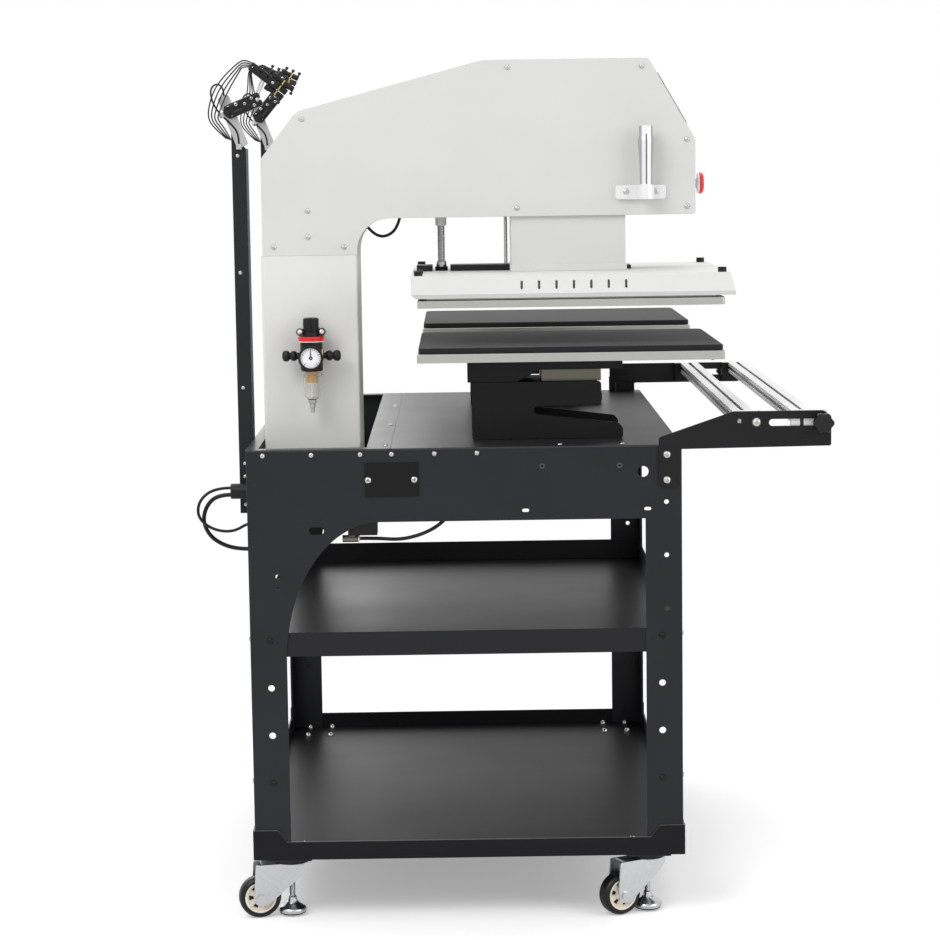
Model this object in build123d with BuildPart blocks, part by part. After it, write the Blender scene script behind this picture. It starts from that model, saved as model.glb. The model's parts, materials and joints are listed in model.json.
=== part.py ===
from build123d import *
import os
from math import cos, radians, sin, tan

os.makedirs("parts", exist_ok=True)

# Millimetres. X runs to the operator at the front, Y along the two stations, Z up from the floor.

# Clearances and stock
fit = 0.3  # gap between pieces that move on each other
pin_gap = 0.3  # radial gap of a pin or stud in its hole
cable_gap = 0.4  # radial gap of a cable in its hole
NEAR, FAR = -1, 1

# Casters and feet
wheel_diameter = 71.0
wheel_width = 26.0
tyre_thickness = 9.0
axle_diameter = 8.0
caster_trail = 55.0
fork_room = 18.0  # above the wheel
fork_sheet = 3.0
fork_side_gap = 1.5
bearing_height = 11.7
bearing_diameter = 58.0
caster_plate_sheet = 3.0
caster_plate_x, caster_plate_y = 74.0, 100.0
caster_bolt_x, caster_bolt_y = 45.0, 74.0
caster_inset_x, caster_inset_y = 57.0, 48.0
caster_yaw = {(-1, -1): 12.0, (1, -1): 28.0, (-1, 1): -18.0, (1, 1): -8.0}
foot_diameter = 47.0
foot_stem = 10.0
foot_lift = 3.0  # foot above the floor when it is raised
foot_rim = 7.0
foot_cone = 12.0
foot_dome = 10.0

# Stand
stand_x = -100.0
stand_length = 714.0
stand_width = 1000.0
stand_height = 687.5  # underside of the lower tray to the table top
panel_sheet = 3.0
leg_width = 60.0
apron_depth = 121.5
arch_reach, arch_drop = 158.0, 233.0
tray_sheet = 3.0
tray_lip = 31.0
gusset_height, gusset_run = 19.7, 42.0
shelf_height = 343.0  # above the lower tray's underside
shelf_lip = 40.0
table_flange = 24.0
slot_seam = 237.0  # rear face to the seam of the slot surround
slot_end, slot_width = 23.0, 178.0  # slot end to the outer face of the side panel
slot_rear = 19.0
cover_plate_x, cover_plate_z = 88.4, 56.4

# Stations, platens and head
station_x = 76.5
station_y = 320.0
platen_x, platen_y, platen_thickness = 500.0, 400.0, 14.5
pad_inset, pad_thickness, pad_corner = 2.0, 9.5, 14.0
pedestal_height = 96.5
pedestal_width = 140.0
pedestal_sheet = 5.0
bracket_height = 43.5
press_gap = 65.0
heat_plate_x, heat_plate_y, heat_plate_thickness = 498.0, 400.0, 12.0
cover_gap = 3.5
cover_x, cover_y, cover_height = 516.0, 416.0, 37.0
cover_nose = 10.0
cover_chamfer = 7.0
cover_sheet = 2.5
vent_count, vent_pitch, vent_width, vent_height = 7, 28.1, 4.0, 14.0
neck_x, neck_y, neck_wall = 190.0, 144.0, 4.0
neck_shift = 2.4
neck_show = 81.0  # neck seen between the head flange and the arm
neck_engaged = 85.0
head_flange = 10.0

# Column and arm
column_inset = 105.0  # stand's rear face to the column's axis
column_x = stand_x - stand_length / 2 + column_inset
column_size = 160.0
column_wall = 5.0
arm_wall = 4.0
arm_skin = 3.0
arm_rear_inset = 3.0
arm_front = 562.0  # column front to the arm's front face
arm_depth = 257.5  # underside to the top face
arm_joint_drop = 60.0  # underside down to the column joint
throat_radius = 55.0

# Front rails
rail_x, rail_z = 35.0, 20.0
rail_inner, rail_outer = 100.5, 196.5  # ahead of the stand's front
rail_slot = 6.0
rail_block = 12.0
near_bolt, near_stud = 21.2, 32.5  # fixing ahead of the rail centre
far_bolt, far_stud = -20.7, -22.0
rail_travel = 45.0
front_bracket_sheet = 5.0
stud_diameter = 8.0
knob_diameter, knob_length = 36.0, 26.0

# Heights that follow
fork_top_z = wheel_diameter + fork_room + fork_sheet
base_z = fork_top_z + fit + bearing_height + caster_plate_sheet
tray_floor_z = base_z + tray_sheet
table_z = base_z + stand_height
panel_top_z = table_z - panel_sheet
apron_z = table_z - apron_depth
shelf_z = base_z + shelf_height
pedestal_top_z = table_z + pedestal_height
platen_z = pedestal_top_z + bracket_height
pad_z = platen_z + platen_thickness
press_z = pad_z + pad_thickness
heat_plate_z = press_z + press_gap
cover_z = heat_plate_z + heat_plate_thickness + cover_gap
head_z = cover_z + cover_height
arm_z = head_z + head_flange + neck_show
joint_z = arm_z - arm_joint_drop
arm_top_z = arm_z + arm_depth
stand_rear = stand_x - stand_length / 2
stand_front = stand_x + stand_length / 2
side_y = stand_width / 2
seam_x = stand_rear + slot_seam
column_rear = column_x - column_size / 2
column_front = column_x + column_size / 2
arm_rear = column_rear + arm_rear_inset
arm_nose = column_front + arm_front
neck_centre = station_x + neck_shift
arm_near = -station_y - column_size / 2
arm_far = -station_y + column_size / 2


def block(x, y, z, mode=Mode.ADD):
    """Box between two X values, two Y values and two Z values."""
    with Locations(((x[0] + x[1]) / 2, (y[0] + y[1]) / 2, (z[0] + z[1]) / 2)):
        Box(abs(x[1] - x[0]), abs(y[1] - y[0]), abs(z[1] - z[0]), mode=mode)


def bar(start, end, radius, mode=Mode.ADD):
    """Round bar between two points."""
    run = Vector(*end) - Vector(*start)
    with Locations(Plane(origin=start, z_dir=run)):
        Cylinder(radius, run.length, align=(Align.CENTER, Align.CENTER, Align.MIN), mode=mode)


def side_plate(outline, y, radii=None, mode=Mode.ADD):
    """Plate with an outline in X and Z between two Y values."""
    low, high = min(y), max(y)
    with BuildSketch(Plane.XZ.offset(-high)) as face:
        with BuildLine():
            if radii:
                FilletPolyline(*outline, radius=radii, close=True)
            else:
                Polyline(*outline, close=True)
        make_face()
    extrude(face.sketch, amount=high - low, mode=mode)


def side_slot(x, y, z, length, height, mode=Mode.SUBTRACT):
    """Slot along X that passes through a plate facing Y."""
    low, high = min(y), max(y)
    with BuildSketch(Plane.XZ.offset(-high)) as face:
        with Locations((x, z)):
            SlotOverall(length, height)
    extrude(face.sketch, amount=high - low, mode=mode)


def screw_head(head, height=3.0, socket=0.45):
    """Domed screw head with a recess, made at the origin and facing up."""
    with BuildPart() as screw:
        with BuildSketch(Plane.XZ) as half:
            with BuildLine():
                Line((0, 0), (head / 2, 0))
                ThreePointArc((head / 2, 0), (head * 0.36, height * 0.72), (0, height))
                Line((0, height), (0, 0))
            make_face()
        revolve(half.sketch, axis=Axis.Z)
        with BuildSketch(Plane.XY.offset(height * 0.5)) as recess:
            RegularPolygon(head * socket / 2, 6)
        extrude(recess.sketch, amount=height, mode=Mode.SUBTRACT)
    return screw.part


def seats(places, direction):
    """Locations that turn a head to face a direction at each place."""
    return [Plane(origin=place, z_dir=direction).location for place in places]


def route_radii(points):
    """Arc radius at each inner point of a route: 0.45 of the shorter run over the half turn's tangent."""
    radii = []
    for before, here, after in zip(points, points[1:], points[2:]):
        first = Vector(*here) - Vector(*before)
        second = Vector(*after) - Vector(*here)
        turn = first.get_angle(second)
        radii.append(0.45 * min(first.length, second.length) / tan(radians(turn / 2)))
    return radii


def cable(name, points, diameter):
    """Tube of straight runs and arcs along a route, inside the part that is open."""
    radii = route_radii(points)
    with BuildLine():
        path = FilletPolyline(*points, radius=radii)
    with BuildSketch(Plane(origin=path @ 0, z_dir=path % 0)) as section:
        Circle(diameter / 2)
    sweep(section.sketch, path=path)
    print(name, "length", round(path.length, 1), "radii", [round(r, 1) for r in radii])
    return path.length * section.sketch.area


def finish(part, name):
    """Label a piece and write it."""
    part.part.label = name
    export_step(part.part, "parts/" + name + ".step")


# Side panels: two legs and an apron in one folded sheet, with an arch at the rear leg
leg_hole = 8.0
wide_hole = 11.0  # the two open holes of each leg
leg_hole_inset = 33.5
leg_holes_z = (base_z + 211.0, base_z + 291.0)
leg_screws_z = (base_z + 131.0, base_z + 371.0)
flange_hole_inset = 25.5
flange_holes_z = (table_z - 94.5, table_z - 182.7, table_z - 271.8)
apron_screws_z = table_z - 9.5
apron_screws_x = (27.4, 107.0, 187.3, 238.6, 308.8, 378.4)  # from the rear face
bracket_bolts_z = (table_z - 15.7, table_z - 57.5)
inner_rear, inner_front = stand_rear + leg_width, stand_front - leg_width
oblong_x, oblong_z = stand_rear + 113.3, table_z - 134.7
porthole_x, porthole_z, porthole = stand_front - 63.5, table_z - 44.0, 18.0
for side, side_name in ((NEAR, "near"), (FAR, "far")):
    outer, inner = side * side_y, side * (side_y - panel_sheet)
    with BuildPart() as panel:
        with BuildSketch(Plane.XZ.offset(-max(outer, inner))) as face:
            with BuildLine():
                Polyline(
                    (inner_rear, apron_z - arch_drop),
                    (inner_rear, tray_floor_z),
                    (stand_rear, tray_floor_z),
                    (stand_rear, panel_top_z),
                    (stand_front, panel_top_z),
                    (stand_front, tray_floor_z),
                    (inner_front, tray_floor_z),
                    (inner_front, apron_z),
                    (inner_rear + arch_reach, apron_z),
                )
                EllipticalCenterArc(
                    (inner_rear + arch_reach, apron_z - arch_drop), arch_reach, arch_drop, 90, arc_size=90
                )
            make_face()
        extrude(face.sketch, amount=panel_sheet)
        for flange_x in ((stand_rear, stand_rear + panel_sheet), (stand_front - panel_sheet, stand_front)):
            block(flange_x, sorted((outer, outer - side * leg_width)), (tray_floor_z, panel_top_z))
        corner_edges = panel.edges().filter_by(Axis.Z).filter_by(
            lambda edge: abs(abs(edge.center().X - stand_x) - stand_length / 2) < 0.01
            and abs(edge.center().Y - outer) < 0.01
        )
        fillet(corner_edges, panel_sheet * 0.9)
        wall = (outer + side, inner - side)
        for end in (NEAR, FAR):
            leg_x = stand_x + end * (stand_length / 2 - leg_hole_inset)
            for heights, hole in ((leg_holes_z, wide_hole), (leg_screws_z, leg_hole)):
                for hole_z in heights:
                    bar((leg_x, wall[0], hole_z), (leg_x, wall[1], hole_z), hole / 2, Mode.SUBTRACT)
        for hole_z in flange_holes_z:
            flange_x = stand_front - flange_hole_inset
            bar((flange_x, wall[0], hole_z), (flange_x, wall[1], hole_z), leg_hole / 2, Mode.SUBTRACT)
        side_slot(oblong_x, wall, oblong_z, 24.6, 12.5)
        for slot_x in (stand_x + 100.3, stand_x + 300.7):
            side_slot(slot_x, wall, apron_z + 16.0, 11.5, 5.7)
        for hole_x, hole_z, hole in (
            (stand_rear + 48.3, table_z - 210.0, leg_hole),
            (stand_rear + 47.2, table_z - 229.4, 4.0),
            (stand_x + 128.3, table_z - 32.5, leg_hole),
            (stand_x + 254.9, table_z - 33.2, leg_hole),
            (porthole_x, porthole_z, porthole),
        ):
            bar((hole_x, wall[0], hole_z), (hole_x, wall[1], hole_z), hole / 2, Mode.SUBTRACT)
    finish(panel, "side_panel_" + side_name)

# Front and rear aprons with joggled ends behind the leg flanges, and the cover plate on the near side
gland_y, gland_z = -370.0, table_z - 83.5
gland_bore = 26.0
cover_plate_centre = (stand_x - 118.4, table_z - 51.5)
apron_reach = side_y - leg_width
lap = 12.0
with BuildPart() as aprons:
    for end, face_x in ((NEAR, stand_rear), (FAR, stand_front)):
        inner_x = face_x - end * panel_sheet
        lap_x = inner_x - end * panel_sheet
        block(sorted((face_x, inner_x)), (-apron_reach, apron_reach), (apron_z, panel_top_z))
        for side in (NEAR, FAR):
            lap_y = sorted((side * (apron_reach - lap), side * (side_y - panel_sheet)))
            block(sorted((inner_x, lap_x)), lap_y, (apron_z, panel_top_z))
    bar((stand_rear - 1, gland_y, gland_z), (stand_rear + 7, gland_y, gland_z), gland_bore / 2 - 3, Mode.SUBTRACT)
    block(
        (cover_plate_centre[0] - cover_plate_x / 2, cover_plate_centre[0] + cover_plate_x / 2),
        (-side_y - 2, -side_y),
        (cover_plate_centre[1] - cover_plate_z / 2, cover_plate_centre[1] + cover_plate_z / 2),
    )
finish(aprons, "apron_panels")

# Table top and the surround of the long slot
flange_clear = 12.0
with BuildPart() as table:
    block((seam_x, stand_front), (-side_y, side_y), (table_z - panel_sheet, table_z))
    inside_y = side_y - panel_sheet
    flange_z = (table_z - table_flange, table_z - panel_sheet)
    for side in (NEAR, FAR):
        flange_y = sorted((side * inside_y, side * (inside_y - panel_sheet)))
        block((seam_x, stand_front - flange_clear), flange_y, flange_z)
    block((seam_x, seam_x + panel_sheet), (-inside_y, inside_y), flange_z)
    corners = table.edges().filter_by(Axis.Z).sort_by(Axis.X)[-2:]
    fillet(corners, 8.0)
finish(table, "table_top")

slot_x = (stand_rear + slot_rear, stand_rear + slot_rear + slot_width)
with BuildPart() as surround:
    block((stand_rear, seam_x), (-side_y, side_y), (table_z - panel_sheet, table_z))
    block((seam_x - panel_sheet, seam_x), (-inside_y, inside_y), flange_z)
    block(slot_x, (slot_end - side_y, side_y - slot_end), (table_z - panel_sheet - 1, table_z + 1), Mode.SUBTRACT)
finish(surround, "slot_surround")

# Upper shelf between the legs and lower tray around their feet
shelf_sheet = 2.0
with BuildPart() as shelf:
    shelf_x = (stand_rear + panel_sheet, stand_front - panel_sheet)
    shelf_y = (-side_y + panel_sheet, side_y - panel_sheet)
    block(shelf_x, shelf_y, (shelf_z, shelf_z + shelf_lip))
    block(
        (shelf_x[0] + shelf_sheet, shelf_x[1] - shelf_sheet),
        (shelf_y[0] + shelf_sheet, shelf_y[1] - shelf_sheet),
        (shelf_z + shelf_sheet, shelf_z + shelf_lip + 1),
        Mode.SUBTRACT,
    )
finish(shelf, "upper_shelf")

tray_x, tray_y = stand_length / 2 + tray_sheet, side_y + tray_sheet
tray_top_z = base_z + tray_lip
gusset_top_z = tray_top_z + gusset_height
gusset_slope = 15.0
with BuildPart() as tray:
    block((stand_x - tray_x, stand_x + tray_x), (-tray_y, tray_y), (base_z, tray_floor_z))
    for side in (NEAR, FAR):
        lip_y = sorted((side * tray_y, side * side_y))
        side_plate(
            (
                (stand_x - tray_x, base_z),
                (stand_x + tray_x, base_z),
                (stand_x + tray_x, gusset_top_z),
                (stand_x + tray_x - gusset_run, gusset_top_z),
                (stand_x + tray_x - gusset_run - gusset_slope, tray_top_z),
                (stand_x - tray_x + gusset_run + gusset_slope, tray_top_z),
                (stand_x - tray_x + gusset_run, gusset_top_z),
                (stand_x - tray_x, gusset_top_z),
            ),
            lip_y,
        )
    for end in (NEAR, FAR):
        lip_x = sorted((stand_x + end * tray_x, stand_x + end * stand_length / 2))
        block(lip_x, (-tray_y, tray_y), (base_z, tray_top_z))
        for side in (NEAR, FAR):
            gusset_y = sorted((side * tray_y, side * (tray_y - gusset_run)))
            block(lip_x, gusset_y, (base_z, gusset_top_z))
    tray_corners = tray.edges().filter_by(Axis.Z).filter_by(
        lambda edge: abs(abs(edge.center().X - stand_x) - tray_x) < 0.01
        and abs(abs(edge.center().Y) - tray_y) < 0.01
    )
    fillet(tray_corners, tray_sheet * 0.9)
finish(tray, "lower_tray")

# Slide under the slot: bed plate, two linear rails and a rodless air cylinder
bed_z = table_z - 94.5
bed_sheet = 6.0
bed_front = stand_rear + 157.0
bed_rear = stand_rear + 2 * panel_sheet
bed_flange = 34.0
guide_x = (stand_rear + 37.0, stand_rear + 132.0)
guide_width, guide_height = 20.0, 18.0
guide_z = bed_z + bed_sheet
plate_z = guide_z + guide_height + 12.0
carriage_z = plate_z + 12.0
with BuildPart() as bed:
    block((bed_rear, bed_front), (-inside_y, inside_y), (bed_z, bed_z + bed_sheet))
    for side in (NEAR, FAR):
        end_y = sorted((side * inside_y, side * (inside_y - bed_sheet)))
        block((bed_rear, bed_front), end_y, (bed_z, bed_z + bed_flange))
    block((bed_front - bed_sheet, bed_front), (-inside_y, inside_y), (bed_z - 16.0, bed_z + bed_sheet))
finish(bed, "slide_bed")

guide_end = inside_y - bed_sheet - 4.0
with BuildPart() as guides:
    for rail_at in guide_x:
        block(
            (rail_at - guide_width / 2, rail_at + guide_width / 2),
            (-guide_end, guide_end),
            (guide_z, guide_z + guide_height),
        )
finish(guides, "linear_rails")

cylinder_x, cylinder_z = stand_rear + 189.0, table_z - 119.5
cylinder_bore, end_block = 36.0, 48.0
end_block_length = 40.0
elbow_radius = 6.0
elbow_y, elbow_z = 19.0 - inside_y, cylinder_z - end_block / 2 - elbow_radius - 1.5
elbow_end_x = cylinder_x - 8.0
valve_x, valve_y, valve_z = stand_x - 20.0, 13.0 - inside_y, table_z - 82.5
with BuildPart() as shuttle_cylinder:
    bar(
        (cylinder_x, -inside_y + end_block_length, cylinder_z),
        (cylinder_x, inside_y - end_block_length, cylinder_z),
        cylinder_bore / 2,
    )
    for side in (NEAR, FAR):
        block(
            (cylinder_x - end_block / 2, cylinder_x + end_block / 2),
            sorted((side * inside_y, side * (inside_y - end_block_length))),
            (cylinder_z - end_block / 2, cylinder_z + end_block / 2),
        )
    bar((elbow_end_x - 26.0, elbow_y, elbow_z), (elbow_end_x, elbow_y, elbow_z), elbow_radius)
    block(
        (elbow_end_x - 15.0, elbow_end_x - 5.0),
        (elbow_y - 5.0, elbow_y + 5.0),
        (elbow_z, cylinder_z - end_block / 2),
    )
    block((valve_x - 25.0, valve_x + 25.0), (-inside_y, -inside_y + 27.0), (valve_z, valve_z + 30.0))
finish(shuttle_cylinder, "shuttle_cylinder")

# Pedestals: two notched side plates each, joined by base, top and back plates
pedestal_rear = station_x - 161.5
pedestal_foot = pedestal_rear + 253.0
pedestal_head = pedestal_rear + 217.0
notch_x = pedestal_rear + 75.0
notch_z = table_z + 46.5
pedestal_outline = (
    (pedestal_rear, table_z),
    (pedestal_foot, table_z),
    (pedestal_foot, table_z + 17.5),
    (pedestal_foot - 7.0, table_z + 25.5),
    (notch_x, notch_z),
    (notch_x + 40.0, table_z + 55.5),
    (pedestal_head, table_z + 55.5),
    (pedestal_head, pedestal_top_z),
    (pedestal_rear, pedestal_top_z),
)
with BuildPart() as pedestals:
    for side in (NEAR, FAR):
        low_y = side * station_y - pedestal_width / 2
        high_y = side * station_y + pedestal_width / 2
        side_plate(pedestal_outline, (low_y, low_y + pedestal_sheet), (3, 5, 6, 8, 6, 20, 6, 6, 3))
        side_plate(pedestal_outline, (high_y - pedestal_sheet, high_y), (3, 5, 6, 8, 6, 20, 6, 6, 3))
        inner_span = (low_y + pedestal_sheet, high_y - pedestal_sheet)
        block((pedestal_rear + 4, pedestal_foot - 6), inner_span, (table_z, table_z + pedestal_sheet))
        block((pedestal_rear + 4, pedestal_head - 7), inner_span, (pedestal_top_z - pedestal_sheet, pedestal_top_z))
        block((pedestal_rear + 4, pedestal_rear + 4 + pedestal_sheet), inner_span, (table_z, pedestal_top_z))
finish(pedestals, "pedestals")

# Platen brackets and their load blocks
bracket_rear = pedestal_rear - 7.0
bracket_front = pedestal_foot
channel_z = platen_z - 23.5
load_rear = pedestal_rear + 117.0
load_inset = 8.0
with BuildPart() as brackets:
    for side in (NEAR, FAR):
        low_y = side * station_y - pedestal_width / 2
        high_y = side * station_y + pedestal_width / 2
        for plate_y in ((low_y, low_y + pedestal_sheet), (high_y - pedestal_sheet, high_y)):
            side_plate(
                (
                    (bracket_rear, pedestal_top_z),
                    (notch_x, pedestal_top_z),
                    (load_rear - 2.0, channel_z),
                    (bracket_front, channel_z),
                    (bracket_front, platen_z),
                    (bracket_rear, platen_z),
                ),
                plate_y,
            )
        inner_span = (low_y + pedestal_sheet, high_y - pedestal_sheet)
        block((bracket_rear, bracket_front), inner_span, (platen_z - pedestal_sheet, platen_z))
        block((bracket_rear, bracket_rear + pedestal_sheet), inner_span, (pedestal_top_z, platen_z))
        block((load_rear, bracket_front), inner_span, (channel_z, channel_z + pedestal_sheet))
        block(
            (load_rear, pedestal_head),
            (low_y + load_inset, high_y - load_inset),
            (pedestal_top_z, channel_z),
        )
finish(brackets, "platen_brackets")

# Lower platens and their pads
with BuildPart() as platens:
    for side in (NEAR, FAR):
        block(
            (station_x - platen_x / 2, station_x + platen_x / 2),
            (side * station_y - platen_y / 2, side * station_y + platen_y / 2),
            (platen_z, pad_z),
        )
    fillet(platens.edges().filter_by(Axis.Z), 3.0)
    chamfer(platens.faces().group_by(Axis.Z)[-1].edges(), 0.8)
finish(platens, "platens")

with BuildPart() as pads:
    for side in (NEAR, FAR):
        with BuildSketch(Plane.XY.offset(pad_z)) as pad_face:
            with Locations((station_x, side * station_y)):
                RectangleRounded(platen_x - 2 * pad_inset, platen_y - 2 * pad_inset, pad_corner)
        extrude(pad_face.sketch, amount=pad_thickness)
finish(pads, "pads")

# Front brackets on the legs: outlines differ on the two sides, as the rail blocks are set the other way round
fixing_z = table_z + 34.0
rail_top_z = table_z + 53.5
bracket_out = side_y + front_bracket_sheet
near_slot = (stand_front + rail_outer + near_stud - rail_travel, stand_front + rail_outer + near_stud)
far_slot = (stand_front + rail_outer + far_stud - rail_travel, stand_front + rail_outer + far_stud)
slot_height = 11.5
slot_spare = 37.5
near_outline = (
    (stand_front - 38.0, table_z - 69.5),
    (stand_front - 38.0, table_z + 12.0),
    (stand_front + 84.0, table_z + 53.0),
    (stand_front + 233.0, table_z + 53.0),
    (stand_front + 244.0, table_z + 41.0),
    (stand_front + 244.0, table_z - 5.0),
    (stand_front - 3.0, table_z - 7.5),
    (stand_front - 3.0, table_z - 69.5),
)
far_outline = (
    (stand_front - 60.0, table_z - 69.5),
    (stand_front - 60.0, table_z + 53.0),
    (stand_front + 201.0, table_z + 53.0),
    (stand_front + 201.0, table_z + 14.0),
    (stand_front - 10.0, table_z + 14.0),
    (stand_front - 10.0, table_z - 69.5),
)
with BuildPart() as rail_brackets:
    side_plate(near_outline, (-side_y, -bracket_out), (3, 5, 8, 12, 6, 3, 2, 3))
    side_plate(far_outline, (side_y, bracket_out), (3, 4, 4, 3, 2, 3))
    for side, slot_range, bolt in ((NEAR, near_slot, near_bolt), (FAR, far_slot, far_bolt)):
        through = (side * (side_y - 1), side * (bracket_out + 1))
        slot_low = slot_range[0] - stud_diameter / 2 - pin_gap
        slot_high = slot_range[1] + stud_diameter / 2 + pin_gap
        if side == NEAR:
            slot_low = slot_low - slot_spare
            hole_x = stand_front + rail_inner - 6.0
            bar((hole_x, through[0], fixing_z + 3.0), (hole_x, through[1], fixing_z + 3.0), 4.0, Mode.SUBTRACT)
        side_slot((slot_low + slot_high) / 2, through, fixing_z, slot_high - slot_low, slot_height)
    stop_x = stand_front - 63.0
    block((stop_x, stop_x + 12.0), (side_y - 30.0, side_y - 26.0), (table_z, table_z + 30.0))
    block((stop_x, stop_x + 44.0), (side_y - 30.0, side_y - 26.0), (table_z + 20.0, table_z + 30.0))
    block((stop_x + 14.0, stop_x + 42.0), (side_y - 30.0, side_y - 12.0), (table_z, table_z + 18.0))
finish(rail_brackets, "rail_brackets")


def slotted_rail(centre_x, half_length):
    """Rail with a slot along its top and along each side."""
    x = (centre_x - rail_x / 2, centre_x + rail_x / 2)
    block(x, (-half_length, half_length), (rail_top_z - rail_z, rail_top_z))
    middle = (centre_x - rail_slot / 2, centre_x + rail_slot / 2)
    block(middle, (-half_length, half_length), (rail_top_z - rail_slot, rail_top_z), Mode.SUBTRACT)
    side_z = rail_top_z - rail_z / 2
    for edge_x in x:
        groove = (edge_x - rail_slot * 0.8, edge_x + rail_slot * 0.8)
        block(groove, (-half_length, half_length), (side_z - rail_slot / 2, side_z + rail_slot / 2), Mode.SUBTRACT)


block_z = (rail_top_z - 36.0, rail_top_z)
block_over = 9.0
with BuildPart() as inner_rail:
    inner_x = stand_front + rail_inner
    slotted_rail(inner_x, side_y - rail_block)
    for side, bolt in ((NEAR, near_bolt), (FAR, far_bolt)):
        direction = 1 if bolt > 0 else -1
        block_x = sorted((inner_x - direction * rail_x / 2, inner_x + bolt + direction * block_over))
        block(block_x, sorted((side * side_y, side * (side_y - rail_block))), block_z)
finish(inner_rail, "inner_rail")

with BuildPart() as outer_rail:
    outer_x = stand_front + rail_outer
    rail_end = side_y - fit
    slotted_rail(outer_x, rail_end - rail_block)
    for side, stud in ((NEAR, near_stud), (FAR, far_stud)):
        direction = 1 if stud > 0 else -1
        block_x = sorted((outer_x - direction * rail_x / 2, outer_x + stud + direction * block_over))
        block(block_x, sorted((side * rail_end, side * (rail_end - rail_block))), block_z)
        stud_x = outer_x + stud
        bar(
            (stud_x, side * (rail_end - 2), fixing_z),
            (stud_x, side * (bracket_out + knob_length - 6.0), fixing_z),
            stud_diameter / 2,
        )
finish(outer_rail, "outer_rail")

# Clamping knobs with scalloped rims on the studs of the outer rail
knob_lobes = 6
knob_collar = 20.0
for side, side_name, stud in ((NEAR, "near", near_stud), (FAR, "far", far_stud)):
    knob_x = stand_front + rail_outer + stud
    knob_y = side * (bracket_out + fit)
    with BuildPart() as knob:
        seat = Plane(origin=(knob_x, knob_y, fixing_z), x_dir=(1, 0, 0), z_dir=(0, side, 0))
        with BuildSketch(seat) as collar:
            Circle(knob_collar / 2)
        extrude(collar.sketch, amount=7.0)
        with BuildSketch(seat.offset(7.0)) as star:
            Circle(knob_diameter / 2)
            with PolarLocations(knob_diameter / 2 + 3.0, knob_lobes):
                Circle(7.0, mode=Mode.SUBTRACT)
        extrude(star.sketch, amount=knob_length - 9.0)
        bore_end = side * (bracket_out + knob_length - 5.0)
        bar((knob_x, knob_y - side, fixing_z), (knob_x, bore_end, fixing_z), stud_diameter / 2 + pin_gap, Mode.SUBTRACT)
    finish(knob, "knob_" + side_name)

# Casters: a plate and bearing under each tray corner, a swivel fork, a wheel and a levelling foot
caster_spots = [
    (end, side, stand_x + end * (stand_length / 2 - caster_inset_x), side * (side_y - caster_inset_y))
    for end in (-1, 1)
    for side in (-1, 1)
]
caster_names = {(-1, -1): "rear_near", (1, -1): "front_near", (-1, 1): "rear_far", (1, 1): "front_far"}
stem_hole = foot_stem / 2 + pin_gap
bearing_z = fork_top_z + fit
with BuildPart() as caster_plates:
    for end, side, x, y in caster_spots:
        with Locations((x, y, base_z - caster_plate_sheet)):
            Box(
                caster_plate_x,
                caster_plate_y,
                caster_plate_sheet,
                align=(Align.CENTER, Align.CENTER, Align.MIN),
            )
        bar((x, y, bearing_z), (x, y, base_z - caster_plate_sheet), bearing_diameter / 2)
        bar((x, y, bearing_z - 1), (x, y, base_z + 1), stem_hole, Mode.SUBTRACT)
    fillet(caster_plates.edges().filter_by(Axis.Z).filter_by(GeomType.LINE), 5.0)
finish(caster_plates, "caster_plates")

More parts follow.
